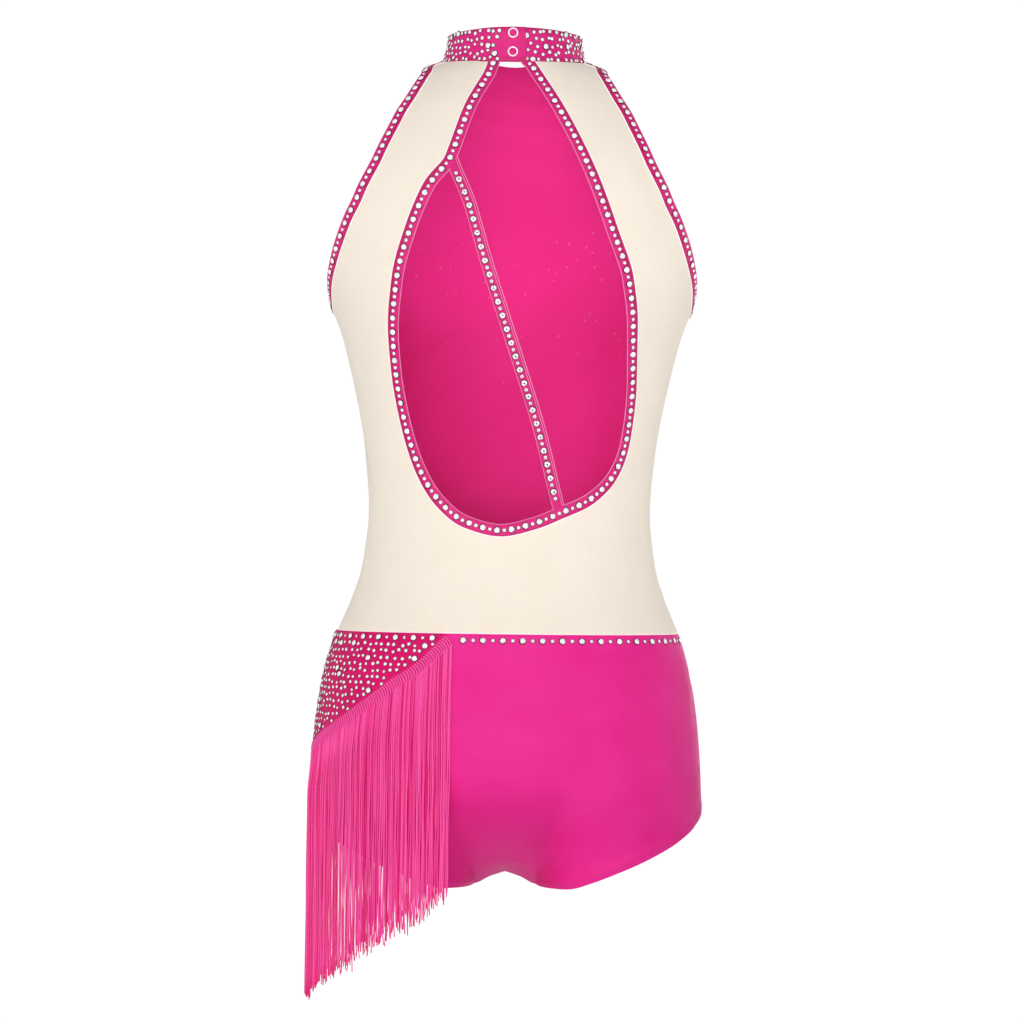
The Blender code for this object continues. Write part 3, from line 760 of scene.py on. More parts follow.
def stonesAt(name, centres, normals, sizes, darkTable=False):
    points, faces, looksOf = stoneTemplate(darkTable)
    spin = random.uniform(0, 2 * math.pi, len(centres))
    level = unit(np.cross(normals, np.array([0, 0, 1.0])) + 1e-6)
    along = level * np.cos(spin)[:, None] + np.cross(normals, level) * np.sin(spin)[:, None]
    lean = unit(normals + random.normal(0, 0.05, normals.shape))
    return placeMany(name, points, faces, looksOf, facetLooks, centres, along, lean, sizes)


def stoneRow(line, pitch, start=0):
    # evenly spaced spots with sizes that alternate large and small
    count = max(int(round(lineLengths(line)[-1] / pitch)), 2)
    spots = sampled(line, (np.arange(count) + 0.5) / count)
    large = (np.arange(count) + start) % 2 == 0
    sizes = np.where(large, stone["large"], stone["small"]) * random.uniform(0.95, 1.04, count)
    return spots, sizes


def stitchPoints(line, lift, pitch=stitch["pitch"]):
    count = int(lineLengths(line)[-1] / pitch)
    points, normals = clothFrame(sampled(line, (np.arange(count) + 0.5) / count))
    ends = sampled(line, (np.arange(count) + 0.75) / count)
    return points + normals * lift, clothPoint(*ends.T) - points, normals


def stitchPiece(name, rows, lookName):
    points, faces = stitchTemplate()
    faceLooks = np.zeros(len(faces), int)
    centres, along, normals = (np.vstack(part) for part in zip(*rows))
    sizes = np.full(len(centres), stitch["length"]) * random.uniform(0.92, 1.05, len(centres))
    return placeMany(name, points, faces, faceLooks, [lookName], centres, along, normals, sizes, smooth=True)


print("stones and stitches ready")

# Keyhole: the mesh panel round it and the binding along its edge
keyhole = {
    "columns": 420,
    "meshThick": 0.8,
    "tuck": 2.5,  # how far a panel's edge runs under the band that is sewn on it
    "seam": (  # x, z from behind, from the collar on the wearer's left round to the right
        (-20.5, 14), (-24, 3), (-40, -27), (-52, -61), (-56, -71.5), (-71, -90),
        (-87, -128), (-97, -167), (-100, -205), (-97, -244), (-90, -282), (-78, -321),
        (-61, -350), (-37, -369), (-7, -376), (21, -370), (43, -361), (66, -350),
        (87, -328), (97, -300), (102, -250), (102, -205), (98, -167), (85, -128),
        (71, -90), (58, -61), (40, -27), (21, 3), (14, 14),
    ),
    "creases": (  # turn, drop to turn, drop, half width, height
        (-74, 207, -52, 203, 3.0, -0.8),
        (74, 206, 50, 204, 3.2, -0.7),
        (-80, 226, -58, 232, 5.0, 0.6),
        (82, 232, 60, 238, 4.5, 0.6),
        (-88, 250, -80, 330, 6.0, -0.8),
        (86, 262, 79, 345, 7.0, -0.9),
        (-62, 396, -20, 410, 7.0, 0.7),
        (58, 400, 18, 414, 8.0, 0.6),
        (-76, 380, -52, 440, 6.0, -0.6),
        (70, 384, 44, 442, 6.5, -0.7),
        (-30, 424, 26, 428, 6.0, -0.5),
        (-44, 62, -40, 108, 4.0, -0.4),
        (45, 58, 41, 112, 4.0, -0.4),
    ),
}
armhole = {
    "columns": 170,
    "edge": (  # turn, drop
        (80, -9), (77.5, 2), (56.5, 11.5), (50.5, 21.5), (47.5, 35.5), (46.6, 51.7),
        (47.2, 72), (50.7, 100), (54.8, 116), (59.3, 133), (66, 149), (75.5, 166),
        (86, 182), (98, 190), (108.5, 184), (116.5, 168), (125.5, 138), (131.4, 100),
        (134.3, 63), (131.8, 30), (121, 10), (104, 1), (100, -9),
    ),
}

keyholeFull = backSpots(drawnLine(keyhole["seam"], 1200))
keyholeSeam = belowNeck(keyholeFull)
keyholeFree = belowNeck(aside(keyholeFull, binding["width"]))
keyholeTuck = belowNeck(aside(keyholeFull, keyhole["tuck"]))
armholeFull = drawnLine(armhole["edge"], 900)
armholeFree = belowNeck(armholeFull)
armholeSeam = belowNeck(aside(armholeFull, -binding["width"]))
armholeTuck = belowNeck(aside(armholeFull, keyhole["tuck"] - binding["width"]))


def splitAtSide(line):
    lowest = int(np.argmax(line[:, 1]))
    return line[: lowest + 1], line[lowest:]


def backMeshPanel():
    # one U-shaped panel from the collar, down, round under the keyhole and up again
    turn = body["sideSeam"] + 1.2  # runs a little way under the front
    bottom = body["waistDrop"] + 3
    under = evenly(splitAtSide(armholeTuck)[0], 74)
    under[-1, 0] = turn
    side = paired(turn, np.linspace(under[-1, 1], bottom, 58))[1:]
    waist = paired(np.linspace(turn, 0, 48), bottom)[1:]
    right = np.vstack([under, side, waist])
    outer = np.vstack([mirrored(right), right[-2::-1]])
    # the stations of the keyhole's side follow the stations of the outer side
    places = np.interp(np.arange(len(right)), [0, 73, 130, len(right) - 1], [0, 0.27, 0.425, 0.5])
    places = np.concatenate([places, 1 - places[-2::-1]])
    inner = sampled(keyholeTuck, places)
    spots = ruled(inner, outer, 26)
    panel = clothPiece("backMeshPanel", spots, 0.0, keyhole["meshThick"], ["mesh"], keyhole["creases"])
    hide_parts("back_mesh_panel")
    return panel


def keyholeBinding():
    count = keyhole["columns"]
    band = bindingPiece("keyholeBinding", evenly(keyholeFree, count), evenly(keyholeSeam, count))
    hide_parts("keyhole_binding")
    return band


meshPanel = backMeshPanel()
holeBinding = keyholeBinding()
print("mesh panel and keyhole binding made")


def armholeBinding(name, node, flip):
    first, last = evenly(armholeFree, armhole["columns"]), evenly(armholeSeam, armhole["columns"])
    if flip:
        first, last = mirrored(first), mirrored(last)
    band = bindingPiece(name, first, last)
    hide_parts(node)
    return band


sleeveBindings = {
    "right": armholeBinding("armholeBindingRight", "armhole_binding_right", False),
    "left": armholeBinding("armholeBindingLeft", "armhole_binding_left", True),
}

# Front bodice
bodice = {
    "columns": 150,
    "lift": 0.15,
    "thick": 1.0,
    "creases": (
        (118, 168, 138, 196, 5.0, -0.9),
        (-118, 168, -140, 200, 5.5, -1.0),
        (124, 205, 150, 226, 7.0, 0.8),
        (-126, 210, -152, 224, 6.5, 0.7),
        (108, 250, 132, 300, 7.0, -1.0),
        (-106, 244, -130, 306, 7.5, -1.0),
        (112, 330, 150, 352, 8.0, 0.8),
        (-114, 340, -148, 356, 8.0, 0.8),
        (118, 392, 160, 410, 7.0, -0.8),
        (-116, 386, -166, 404, 7.5, -0.8),
        (172, 6, 169, 44, 3.5, -0.7),
        (-171, 5, -167, 40, 3.5, -0.6),
        (160, 6, 156, 34, 3.0, -0.6),
        (-158, 6, -153, 36, 3.0, -0.6),
        (178, 430, 140, 446, 7.0, 0.6),
        (-150, 424, -120, 446, 6.0, -0.6),
    ),
}


def frontBodice():
    turn = body["sideSeam"] + 0.05
    upper = evenly(splitAtSide(armholeTuck)[1][::-1], 80)
    upper[-1, 0] = turn
    right = np.vstack([upper, paired(turn, np.linspace(upper[-1, 1], body["waistDrop"] + 3, 72))[1:]])
    left = paired(360 - right[:, 0], right[:, 1])
    spots = np.swapaxes(ruled(right, left, bodice["columns"]), 0, 1)
    folds = [(a % 360, b, c % 360, d, w, h) for a, b, c, d, w, h in bodice["creases"]]
    looksOf = ["satin", "reverse"]
    panel = clothPiece("frontBodice", spots, bodice["lift"], bodice["thick"], looksOf, folds)
    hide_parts("front_bodice")
    return panel


bodicePanel = frontBodice()
print("front bodice made")

# Brief: the back and front below the waist, each with a double-needle leg hem
brief = {
    "hemWidth": 7.0,
    "hemLift": 0.3,
    "lift": 0.25,
    "thick": 1.1,
    "backCreases": (
        (-12, 656, -24, 618, 9.0, -0.25),
        (12, 656, 23, 620, 9.0, -0.25),
        (-52, 600, -34, 634, 10.0, 0.5),
        (54, 596, 36, 632, 10.0, 0.5),
        (92, 482, 76, 530, 7.0, -0.8),
        (88, 470, 60, 486, 6.0, 0.6),
        (84, 560, 70, 592, 6.0, -0.7),
        (-2, 470, 3, 520, 10.0, -0.5),
    ),
    "frontCreases": (
        (168, 646, 156, 596, 6.0, -1.3),
        (192, 646, 204, 598, 6.0, -1.2),
        (174, 640, 170, 585, 7.0, 0.8),
        (187, 642, 191, 590, 7.0, 0.8),
        (150, 612, 132, 572, 7.0, -0.9),
        (212, 610, 230, 574, 7.0, -0.9),
        (112, 480, 132, 520, 7.0, 0.7),
        (176, 478, 184, 530, 9.0, -0.5),
        (238, 478, 214, 500, 7.0, 0.6),
    ),
}


def legTurns(start, end, count):
    # close together where the leg edge runs under the body
    knots = [row[0] for row in body["legEdge"]]
    knots = sorted({*knots, *(360 - k for k in knots), *(-k for k in knots)})
    knots = [start, *(k for k in knots if start + 1 < k < end - 1), end]
    return np.interp(np.linspace(0, len(knots) - 1, count), np.arange(len(knots)), knots)


def edgeDistances(points):
    # along each column, down to its last point
    steps = np.linalg.norm(np.diff(points, axis=0), axis=-1)
    return np.vstack([np.cumsum(steps[::-1], axis=0)[::-1], np.zeros(points.shape[1])])


def hemRise(spots, points):
    # the folded hem is a little thicker than the cloth above it
    toEdge = edgeDistances(points)
    folded = np.abs((spots[..., 0] + 180) % 360 - 180)
    onLeg = smoothStep(10, 12, folded) * (1 - smoothStep(172, 174, folded))
    return brief["hemLift"] * onLeg * (1 - smoothStep(brief["hemWidth"] - 1.2, brief["hemWidth"], toEdge))


def briefPanel(name, node, start, end, count, creases):
    turns = legTurns(start, end, count)
    upper = np.linspace(body["waistDrop"] - 0.6, body["edgeDrop"] - 30, 70)
    drops = np.concatenate([upper, np.linspace(body["edgeDrop"] - 28, body["edgeDrop"], 26)])
    spots = paired(turns, drops[:, None])
    rise = hemRise(spots, clothPoint(spots[..., 0], spots[..., 1]))
    fromEnd = len(drops) - np.arange(len(drops))[:, None]
    folded = np.abs((spots[..., 0] + 90) % 180 - 90)  # degrees from the centre of the back or front
    share = smoothStep(575, 615, spots[..., 1]) * smoothStep(6, 16, fromEnd)
    share *= 1 - smoothStep(35, 62, folded)
    looksOf = ["satin", "reverse"]
    panel = clothPiece(name, spots, brief["lift"], brief["thick"], looksOf, creases, rise, share)
    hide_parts(node)
    return panel


sideTurn = body["sideSeam"]
briefBack = briefPanel("briefBack", "brief_back", -sideTurn, sideTurn, 190, brief["backCreases"])
briefFront = briefPanel("briefFront", "brief_front", sideTurn, 360 - sideTurn, 160, brief["frontCreases"])
print("brief made")

# Hip yoke and its fringe
yoke = {
    "lift": 1.45,  # of its outer face, on which the braid lies
    "thick": 1.1,
    "headerWidth": 10.0,
    "plait": 2.3,  # pitch of the braid's plaits
    "edge": (  # x, z from behind; the front repeats it in mirror image
        (-50.5, -456.5), (-75, -480), (-93, -492), (-106, -502), (-124, -516), (-138, -527),
        (-151, -538), (-156.6, -546),
    ),
}
yarns = {
    "count": 380,
    "wide": 0.95,
    "sides": 5,
    "levels": 30,  # points along a yarn
    "layers": (0.0, 0.8, 0.35, 1.1),  # how far out neighbouring yarns lie
    "length": 205.0,
    "ragged": 1.8,  # spread of the cut ends
    "freeDrop": 585.0,  # below this the hip no longer pushes them out
    "clear": 1.6,
}


def yokeEdge():
    back = backSpots(drawnLine(yoke["edge"], 300))
    back[-1, 0] = -90
    front = back[-2::-1].copy()
    front[:, 0] = -180 - front[:, 0]
    return np.vstack([back, front])


yokeLine = yokeEdge()


def hipYoke():
    columns = evenly(yokeLine, 200)
    top = paired(columns[:, 0], body["waistDrop"] - 0.2)
    spots = ruled(top, aside(columns, 0.6), 30)
    panel = clothPiece("hipYoke", spots, yoke["lift"], yoke["thick"], ["yoke"])
    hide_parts("hip_yoke")
    return panel


def fringeHeader():
    # a plaited braid: rows of bent plaits and a raised edge
    columns, rows = 1500, 13
    top = evenly(yokeLine, columns)
    along = lineLengths(top)
    across = np.linspace(0, yoke["headerWidth"], rows)[:, None]
    slant = 1.3 * np.sin(across / yoke["headerWidth"] * math.pi) - across * 0.1
    plait = np.abs(np.sin(math.pi * (along + slant) / yoke["plait"])) ** 0.8
    edge = np.abs(across / yoke["headerWidth"] * 2 - 1)
    height = yoke["lift"] + 0.95 * plait + 0.15 * np.cos(edge * 4.7) - 0.6 * edge**8
    points, normals = clothFrame(ruled(top, aside(top, yoke["headerWidth"]), rows))
    uv = paired(along, across)
    header = clothShell("fringeHeader", points, normals, height, height - 0.3, ["braid"], uv)
    # painted shade and highlight: darker in the grooves between the plaits, lighter on their crests
    toneAndShade = header.data.attributes.new("toneAndShade", "FLOAT", "POINT")
    value = (-0.8 + 1.75 * plait).ravel()
    toneAndShade.data.foreach_set("value", np.concatenate([value, value]).astype(np.float32))
    return header


def pushedOut(start, out, drop):
    # how far a hanging yarn moves out so that it clears the hip
    half, back, front, square = (c[None, :] for c in np.moveaxis(sectionAt(drop), -1, 0))
    clear = yarns["clear"]
    low, high = np.zeros((len(start), len(drop))), np.full((len(start), len(drop)), 60.0)
    for _ in range(22):
        reach = (low + high) / 2
        x = start[:, None, 0] + out[:, None, 0] * reach
        y = start[:, None, 1] + out[:, None, 1] * reach
        depth = np.where(y < 0, back, front) + clear
        covered = (np.abs(x) / (half + clear)) ** square + (np.abs(y) / depth) ** square
        low, high = np.where(covered < 1, reach, low), np.where(covered < 1, high, reach)
    return high


def yarnRoots():
    # where each yarn leaves the braid, the way out of the cloth there, its layer and its foot's height
    count = yarns["count"]
    places = (np.arange(count) + 0.5 + random.uniform(-0.16, 0.16, count)) / count
    top = clothPoint(*sampled(yokeLine, places, flat=True).T)
    points, normals = clothFrame(sampled(aside(yokeLine, yoke["headerWidth"] - 0.8), places, flat=True))
    layer = np.resize(yarns["layers"], count) + random.uniform(0, 0.3, count)
    start = points + normals * (0.75 + layer[:, None])
    hang = 0.3 + 0.7 * smoothStep(50, 125, np.abs(start[:, 0]))  # near the back centre they hang straight
    out = unit(np.stack([normals[:, 0] * hang, normals[:, 1], 0 * hang], axis=-1))
    foot = top[:, 2] - yarns["length"] + random.normal(0, yarns["ragged"], count)
    foot += random.choice([0, 0, 0, -4, 3], count)
    return start, out, layer, foot


def hipFringe():
    count, levels, sides = yarns["count"], yarns["levels"], yarns["sides"]
    start, out, layer, foot = yarnRoots()
    share = np.linspace(0, 1, levels) ** 1.15
    z = start[:, 2:3] + (foot - start[:, 2])[:, None] * share
    drops = np.linspace(body["waistDrop"], yarns["freeDrop"], 60)
    reachAt = pushedOut(start, out, drops)
    reach = np.empty((count, levels))
    for k in range(count):
        mine = np.where(drops < -start[k, 2], 0, reachAt[k])
        reach[k] = np.interp(-z[k], drops, np.maximum.accumulate(mine)) + layer[k] * smoothStep(0, 0.2, share)
    travel = np.stack([-out[:, 1], out[:, 0], 0 * out[:, 0]], axis=-1)
    phase = random.uniform(0, 2 * math.pi, (count, 3))
    size = random.uniform(0.2, 1.0, (count, 1))
    slow = np.sin(2.2 * math.pi * share + phase[:, :1])
    quick = np.sin(5.1 * math.pi * share + phase[:, 1:2])
    sway = size * (0.5 * slow + 0.35 * quick) * smoothStep(0.02, 0.5, share)
    curl = smoothStep(0.94, 1.0, share) * random.uniform(-1.3, 1.3, (count, 1))
    swing = size * 0.5 * np.sin(1.4 * math.pi * share + phase[:, 2:3]) * smoothStep(0.1, 0.6, share)
    middle = start[:, None, :] + out[:, None, :] * (reach + np.maximum(swing, -0.1))[..., None]
    middle = middle + travel[:, None, :] * (sway + curl)[..., None]
    middle[..., 2] = z
    radius = yarns["wide"] / 2 * random.uniform(0.85, 1.12, (count, 1, 1, 1))
    points = ringsRound(middle, travel[:, None, :], out[:, None, :], radius, sides)
    quads, each = tubeFaces(levels, sides)[:, ::-1], levels * sides
    faces = []
    for base in range(0, count * each, each):
        faces += (quads + base).tolist()
        faces.append(list(range(base + each - 1, base + each - sides - 1, -1)))
    run = random.uniform(0, 40, (count, 1, 1)) - z[:, :, None]
    uv = paired(np.arange(sides) / sides, run).reshape(-1, 2)
    tone = random.normal(0.1, 0.36, (count, 1, 1)) + 0.12 * np.sin(6 * share + phase[:, :1])[..., None]
    tone = np.clip(tone - 0.5 * smoothStep(0.975, 1.0, share)[:, None], -0.6, 1)  # the cut ends are darker
    toneAndShade = np.broadcast_to(tone, (count, levels, sides)).ravel()
    strands = makePiece("hipFringe", points.reshape(-1, 3), faces, ["yarn"], uv=uv, toneAndShade=toneAndShade)
    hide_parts("hip_fringe")
    return strands


yokePanel = hipYoke()
header = fringeHeader()
fringe = hipFringe()
print("yoke and fringe made")

# Collar: one band that goes once round, its left end lying over its right end
collar = {
    "top": (38.0, 34.5, 14.0),
    "thick": 1.9,
    "underEnd": -14.0,
    "topEnd": 368.7,
    "step": (322.0, 343.0),  # where the upper lap rises over the lower one
    "radius": 55.0,  # its mean, and the width, for the weave
    "width": 26.0,
    "size": (  # rise, half width, half depth
        (0.0, 60.5, 52.8),
        (0.3, 57.4, 51.6),
        (0.65, 55.6, 50.6),
        (1.0, 55.0, 50.2),
    ),
    "plain": (-12.5, 8.5),  # the placket's x, without stones
    "stoneRows": (0.08, 0.29, 0.5, 0.71, 0.92),
    "stoneTurns": (8.7, 356, 5.75),  # first, last and step in degrees
    "oddShift": 2.2,  # of every second row
}
collarSizeAt = smoothTable(collar["size"])


def collarPoint(turn, rise):
    size = collarSizeAt(rise)
    low = aroundNeck(body["neckSeam"], turn) - 0.5  # the seam closes on the body
    high = aroundNeck(collar["top"], turn)
    lap = (collar["thick"] + 0.3) * smoothStep(*collar["step"], turn)
    half, depth = size[..., 0] + lap, size[..., 1] + lap
    x, y = ringPoint(turn, half, depth, depth, 2.0)
    return np.stack([x, y, low + (high - low) * rise], axis=-1)


def collarFrame(turn, rise):
    # points on the collar and the directions out of it there
    byTurn = collarPoint(turn + 0.4, rise) - collarPoint(turn - 0.4, rise)
    byRise = collarPoint(turn, rise + 0.01) - collarPoint(turn, rise - 0.01)
    return collarPoint(turn, rise), unit(np.cross(byTurn, byRise))


def collarBand():
    turns = np.linspace(collar["underEnd"], collar["topEnd"], 380)
    rises = 0.5 - 0.5 * np.cos(np.linspace(0, math.pi, 17))
    turn, rise = np.meshgrid(turns, rises)
    fold = np.abs(rise * 2 - 1) ** 12
    lift = -0.45 * fold + 0.12 * np.sin(np.radians(turn) * 9) * np.sin(rise * math.pi)
    thick = collar["thick"] - 0.9 * fold
    points, normals = collarFrame(turn, rise)
    uv = paired(np.radians(turn) * collar["radius"], rise * collar["width"])
    band = clothShell("collarBand", points, normals, lift, thick, ["collar", "reverse"], uv)
    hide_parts("collar_band")
    return band


def scattered(chance, count):
    # which of a row's stones are large, never two side by side
    big = random.random(count) < chance
    return big & np.concatenate([[True], ~big[:-1]])


def collarStones():
    centres, normals, sizes = [], [], []
    first, last, step = collar["stoneTurns"]
    for k, rise in enumerate(collar["stoneRows"]):
        turns = np.arange(first + collar["oddShift"] * (k % 2), last, step)
        turns = turns + random.uniform(-1.6, 1.6, len(turns))
        x = collarPoint(turns, np.full(len(turns), rise))[:, 0]
        behind = np.abs((turns + 180) % 360 - 180) < 90
        turns = turns[~(behind & (x > collar["plain"][0]) & (x < collar["plain"][1]))]
        rises = np.clip(rise + random.uniform(-0.065, 0.065, len(turns)), 0.07, 0.93)
        points, out = collarFrame(turns, rises)
        big = scattered(0.11, len(turns))
        small = stone["small"] * random.uniform(0.84, 1.08, len(turns))
        centres.append(points + out * 0.1)
        normals.append(out)
        sizes.append(np.where(big, stone["large"] * 0.95, small))
    return stonesAt("collarStones", np.vstack(centres), np.vstack(normals), np.concatenate(sizes))


def collarStitches():
    turns = np.linspace(collar["underEnd"] + 3, collar["topEnd"] - 2, 112)
    rows = []
    for turn, rise, lift in (
        (turns, 0.055, 0.02),
        (turns, 0.945, 0.02),
        (collar["topEnd"] - 2.0, np.linspace(0.1, 0.9, 7), 0.05),
    ):
        points, normals = collarFrame(*np.broadcast_arrays(turn, rise))
        centres = points + normals * lift
        rows.append((centres, np.gradient(centres, axis=0), normals))
    return stitchPiece("collarStitches", rows, "thread")


collarPiece = collarBand()
collarGems = collarStones()
collarThread = collarStitches()
print("collar made")

# Ring snaps on the placket
snap = {
    "ring": 8.4,
    "hole": 6.0,
    "rise": 0.95,
    "x": -1.5,
    "bend": 53.0,  # radius of the collar behind the neck
    "heights": {"snapUpper": ("snap_upper", 33.0), "snapLower": ("snap_lower", 17.6)},
}


def snapSeat(height, step):
    # the middle of a snap on the collar, and the directions right, up and out there
    low = float(aroundNeck(body["neckSeam"], 0)) - 0.5
    rise = (height - low) / (collar["top"][0] - low)
    turn = np.array(360 - math.degrees(math.asin(abs(snap["x"]) / snap["bend"])))
    seat, out = collarFrame(turn, np.array(rise))
    up = unit(collarPoint(turn, np.array(rise + step)) - collarPoint(turn, np.array(rise - step)))
    return seat, unit(np.cross(up, out)), up, out


def ringSnap(name, node, height):
    seat, right, up, out = snapSeat(height, 0.12)
    seat = seat + out * 0.1
    outer, inner = snap["ring"] / 2, snap["hole"] / 2
    middle, half = (outer + inner) / 2, (outer - inner) / 2
    profile = [(inner, -0.2)]
    for k in range(9):
        angle = math.pi * (1 - k / 8)
        profile.append((middle + half * math.cos(angle), snap["rise"] * (0.35 + 0.65 * math.sin(angle))))
    profile.append((outer, -0.2))
    sides, count = 56, len(profile)
    points, faces = [], []
    for k in range(sides):
        angle = 2 * math.pi * k / sides
        spoke = right * math.cos(angle) + up * math.sin(angle)
        points += [seat + spoke * r + out * h for r, h in profile]
        for p in range(count - 1):
            a, b = k * count + p, (k + 1) % sides * count + p
            faces.append((a, b, b + 1, a + 1))
    ring = makePiece(name, points, faces, ["metal"])
    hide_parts(node)
    return ring


def snapCentres():
    # the cloth that shows inside each ring is pressed up into a low dome
    points, faces = [], []
    rings, sides = 6, 28
    for _, height in snap["heights"].values():
        seat, right, up, out = snapSeat(height, 0.1)
        dome = tubeFaces(rings + 1, sides)[:, [0, 3, 2, 1]] + len(points)
        for ring in range(rings + 1):
            radius = snap["hole"] / 2 * ring / rings
            bulge = 0.55 * math.cos(math.pi / 2 * ring / rings) ** 0.7 + 0.05
            for k in range(sides):
                angle = 2 * math.pi * k / sides
                points.append(seat + (right * math.cos(angle) + up * math.sin(angle)) * radius + out * bulge)
        faces += dome.tolist()
    uv = np.array(points)[:, [0, 2]] * [1, 0.1] + [0, 10]
    return makePiece("snapCentres", points, faces, ["collar"], uv=uv)


snaps = [ringSnap(name, node, height) for name, (node, height) in snap["heights"].items()]
snapCloth = snapCentres()
print("snaps made")

# Diagonal strap across the keyhole
strap = {
    "width": 10.0,
    "length": 292.0,
    "line": (  # x, z from behind
        (-60, -40), (-48, -77), (-36, -105), (-21.5, -153), (-6, -200), (23.6, -290),
        (36, -338), (45, -372),
    ),
}


def insideKeyhole(spots, outline):
    turn, drop = spots[:, 0:1], spots[:, 1:2]
    t0, d0 = outline[None, :, 0], outline[None, :, 1]
    t1, d1 = np.roll(t0, -1, axis=1), np.roll(d0, -1, axis=1)
    crosses = (d0 > drop) != (d1 > drop)
    gap = np.where(np.abs(d1 - d0) < 1e-9, 1e-9, d1 - d0)
    return (crosses & (turn < t0 + (drop - d0) / gap * (t1 - t0))).sum(1) % 2 == 1


strapMiddle = backSpots(drawnLine(strap["line"], 1600))
keyholeInside = aside(evenly(keyholeFree, 500), -1.5)  # the strap's ends run under the binding


def strapRow(distance, inset=0.0):
    row = aside(strapMiddle, distance)
    row = row[insideKeyhole(row, keyholeInside)]
    if inset:
        along = lineLengths(row)
        row = row[(along > inset) & (along < along[-1] - inset)]
    return row


def backStrap():
    half = strap["width"] / 2
    rows = np.array([evenly(strapRow(distance), 240) for distance in np.linspace(half, -half, 9)])
    share = np.linspace(-1, 1, 9)[:, None]
    height = 0.35 + 0.2 * (1 - share**4) - 0.45 * share**10
    uv = paired(np.linspace(0, strap["length"], 240), (share + 1) * half)
    points, normals = clothFrame(rows)
    piece = clothShell("backStrap", points, normals, height, 1.6 - 0.8 * share**10, ["strap"], uv)
    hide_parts("back_strap")
    return piece


strapPiece = backStrap()
print("strap made")

# Rows and scatters of stones
gemRows = {
    "bandLift": 0.62,
    "strapLift": 0.5,
    "strapPitch": 5.75,
    "waistPitch": 8.0,
    "waistBelow": 4.6,  # below the waist seam
    "waistEnds": 4.5,  # degrees from the yoke's ends
    "yokeBelow": 3.6,
    "yokeSteps": (5.8, 5.15),  # down to the next row, from the top row and from the others
    "yokePitches": (7.6, 5.9),
    "yokeLowest": 543.0,
    "chestTries": 420,
    "chestTurns": (128, 232),
    "chestDrops": (14, 285),
    "chestRoom": 3.25,  # clear radius round each stone
    "glueFrom": 120.0,  # the backs show only below this drop
}


def offsetLine(seam, free, share, count=700):
    return evenly(seam, count) * (1 - share) + evenly(free, count) * share


def bandStones():
    lift = gemRows["bandLift"]
    spots, sizes = stoneRow(offsetLine(keyholeSeam, keyholeFree, 0.5, 900), stone["pitch"])
    made = {"keyholeStones": stonesOnSpots("keyholeStones", spots, lift, sizes)}
    spots, sizes = stoneRow(offsetLine(armholeSeam, armholeFree, 0.5, 500), stone["pitch"])
    made["armholeStonesRight"] = stonesOnSpots("armholeStonesRight", spots, lift, sizes)
    made["armholeStonesLeft"] = stonesOnSpots("armholeStonesLeft", mirrored(spots), lift, sizes)
    spots, sizes = stoneRow(strapRow(-0.9, 6.0), gemRows["strapPitch"], 1)
    made["strapStones"] = stonesOnSpots("strapStones", spots, gemRows["strapLift"], sizes, darkTable=True)
    return made


def waistStones():
    # one row below the waist seam, from the end of the yoke round the right hip to the front
    ends = gemRows["waistEnds"]
    turns = np.linspace(yokeLine[0, 0] + ends, 360 + yokeLine[-1, 0] - ends, 900)
    line = paired(turns, body["waistDrop"] + gemRows["waistBelow"])
    spots, sizes = stoneRow(line, gemRows["waistPitch"])
    return stonesOnSpots("waistStones", spots, 0.3, sizes)


def spaced(points, rooms, order):
    # which points stand clear of those before them, each with its own room round it
    kept = []
    for n in order:
        if all(np.linalg.norm(points[n] - points[m]) > rooms[n] + rooms[m] for m in kept):
            kept.append(n)
    return kept


def yokeRow(line, k):
    # large and small in turn in the top row, small with a few large in the rows below it
    count = max(int(lineLengths(line)[-1] / gemRows["yokePitches"][min(k, 1)]), 1)
    row = sampled(line, (np.arange(count) + (0.25 + 0.5 * (k % 2))) / count)
    big = np.arange(count) % 2 == 0
    if k:
        row += random.uniform(-1, 1, row.shape) * np.array([0.75, 1.1])
        big = scattered(0.1, count)
    return row, np.where(big, stone["large"] * 0.96, stone["small"] * random.uniform(0.78, 1.02, count))


def yokeStones():
    across = np.linspace(yokeLine[-1, 0], yokeLine[0, 0], 1200)
    edge = np.interp(across, yokeLine[::-1, 0], yokeLine[::-1, 1])
    rows, k, drop = [], 0, body["waistDrop"] + gemRows["yokeBelow"]
    while drop < gemRows["yokeLowest"]:
        turns = across[edge > drop + 2.4]
        if len(turns) > 20:
            rows.append(yokeRow(paired(turns, drop), k))
        drop += gemRows["yokeSteps"][min(k, 1)]
        k += 1
    spots, sizes = (np.concatenate(part) for part in zip(*rows))
    kept = spaced(clothPoint(*spots.T), sizes / 2 + 0.175, np.argsort(-sizes))
    return stonesOnSpots("yokeStones", spots[kept], yoke["lift"] + 0.05, sizes[kept])


def chestStones():
    # scattered over the chest and thinning out downwards
    count = gemRows["chestTries"]
    turns = random.uniform(*gemRows["chestTurns"], count)
    drops = random.uniform(*gemRows["chestDrops"], count)
    dense = np.clip((300 - drops) / 260, 0.05, 0.85) * (0.35 + 0.65 * np.abs(np.sin(drops / 31)))
    spots = paired(turns, drops)[random.random(count) < dense]
    front = splitAtSide(belowNeck(aside(armholeFull, -16)))[1]
    limit = np.interp(spots[:, 1], front[::-1, 1], front[::-1, 0], right=100)
    spots = spots[(spots[:, 0] > limit) & (spots[:, 0] < 360 - limit)]
    rooms = np.full(len(spots), gemRows["chestRoom"])
    spots = spots[spaced(clothPoint(*spots.T), rooms, range(len(spots)))]
    sizes = np.where(random.random(len(spots)) < 0.14, stone["large"] * 0.9, stone["small"])
    return spots, sizes


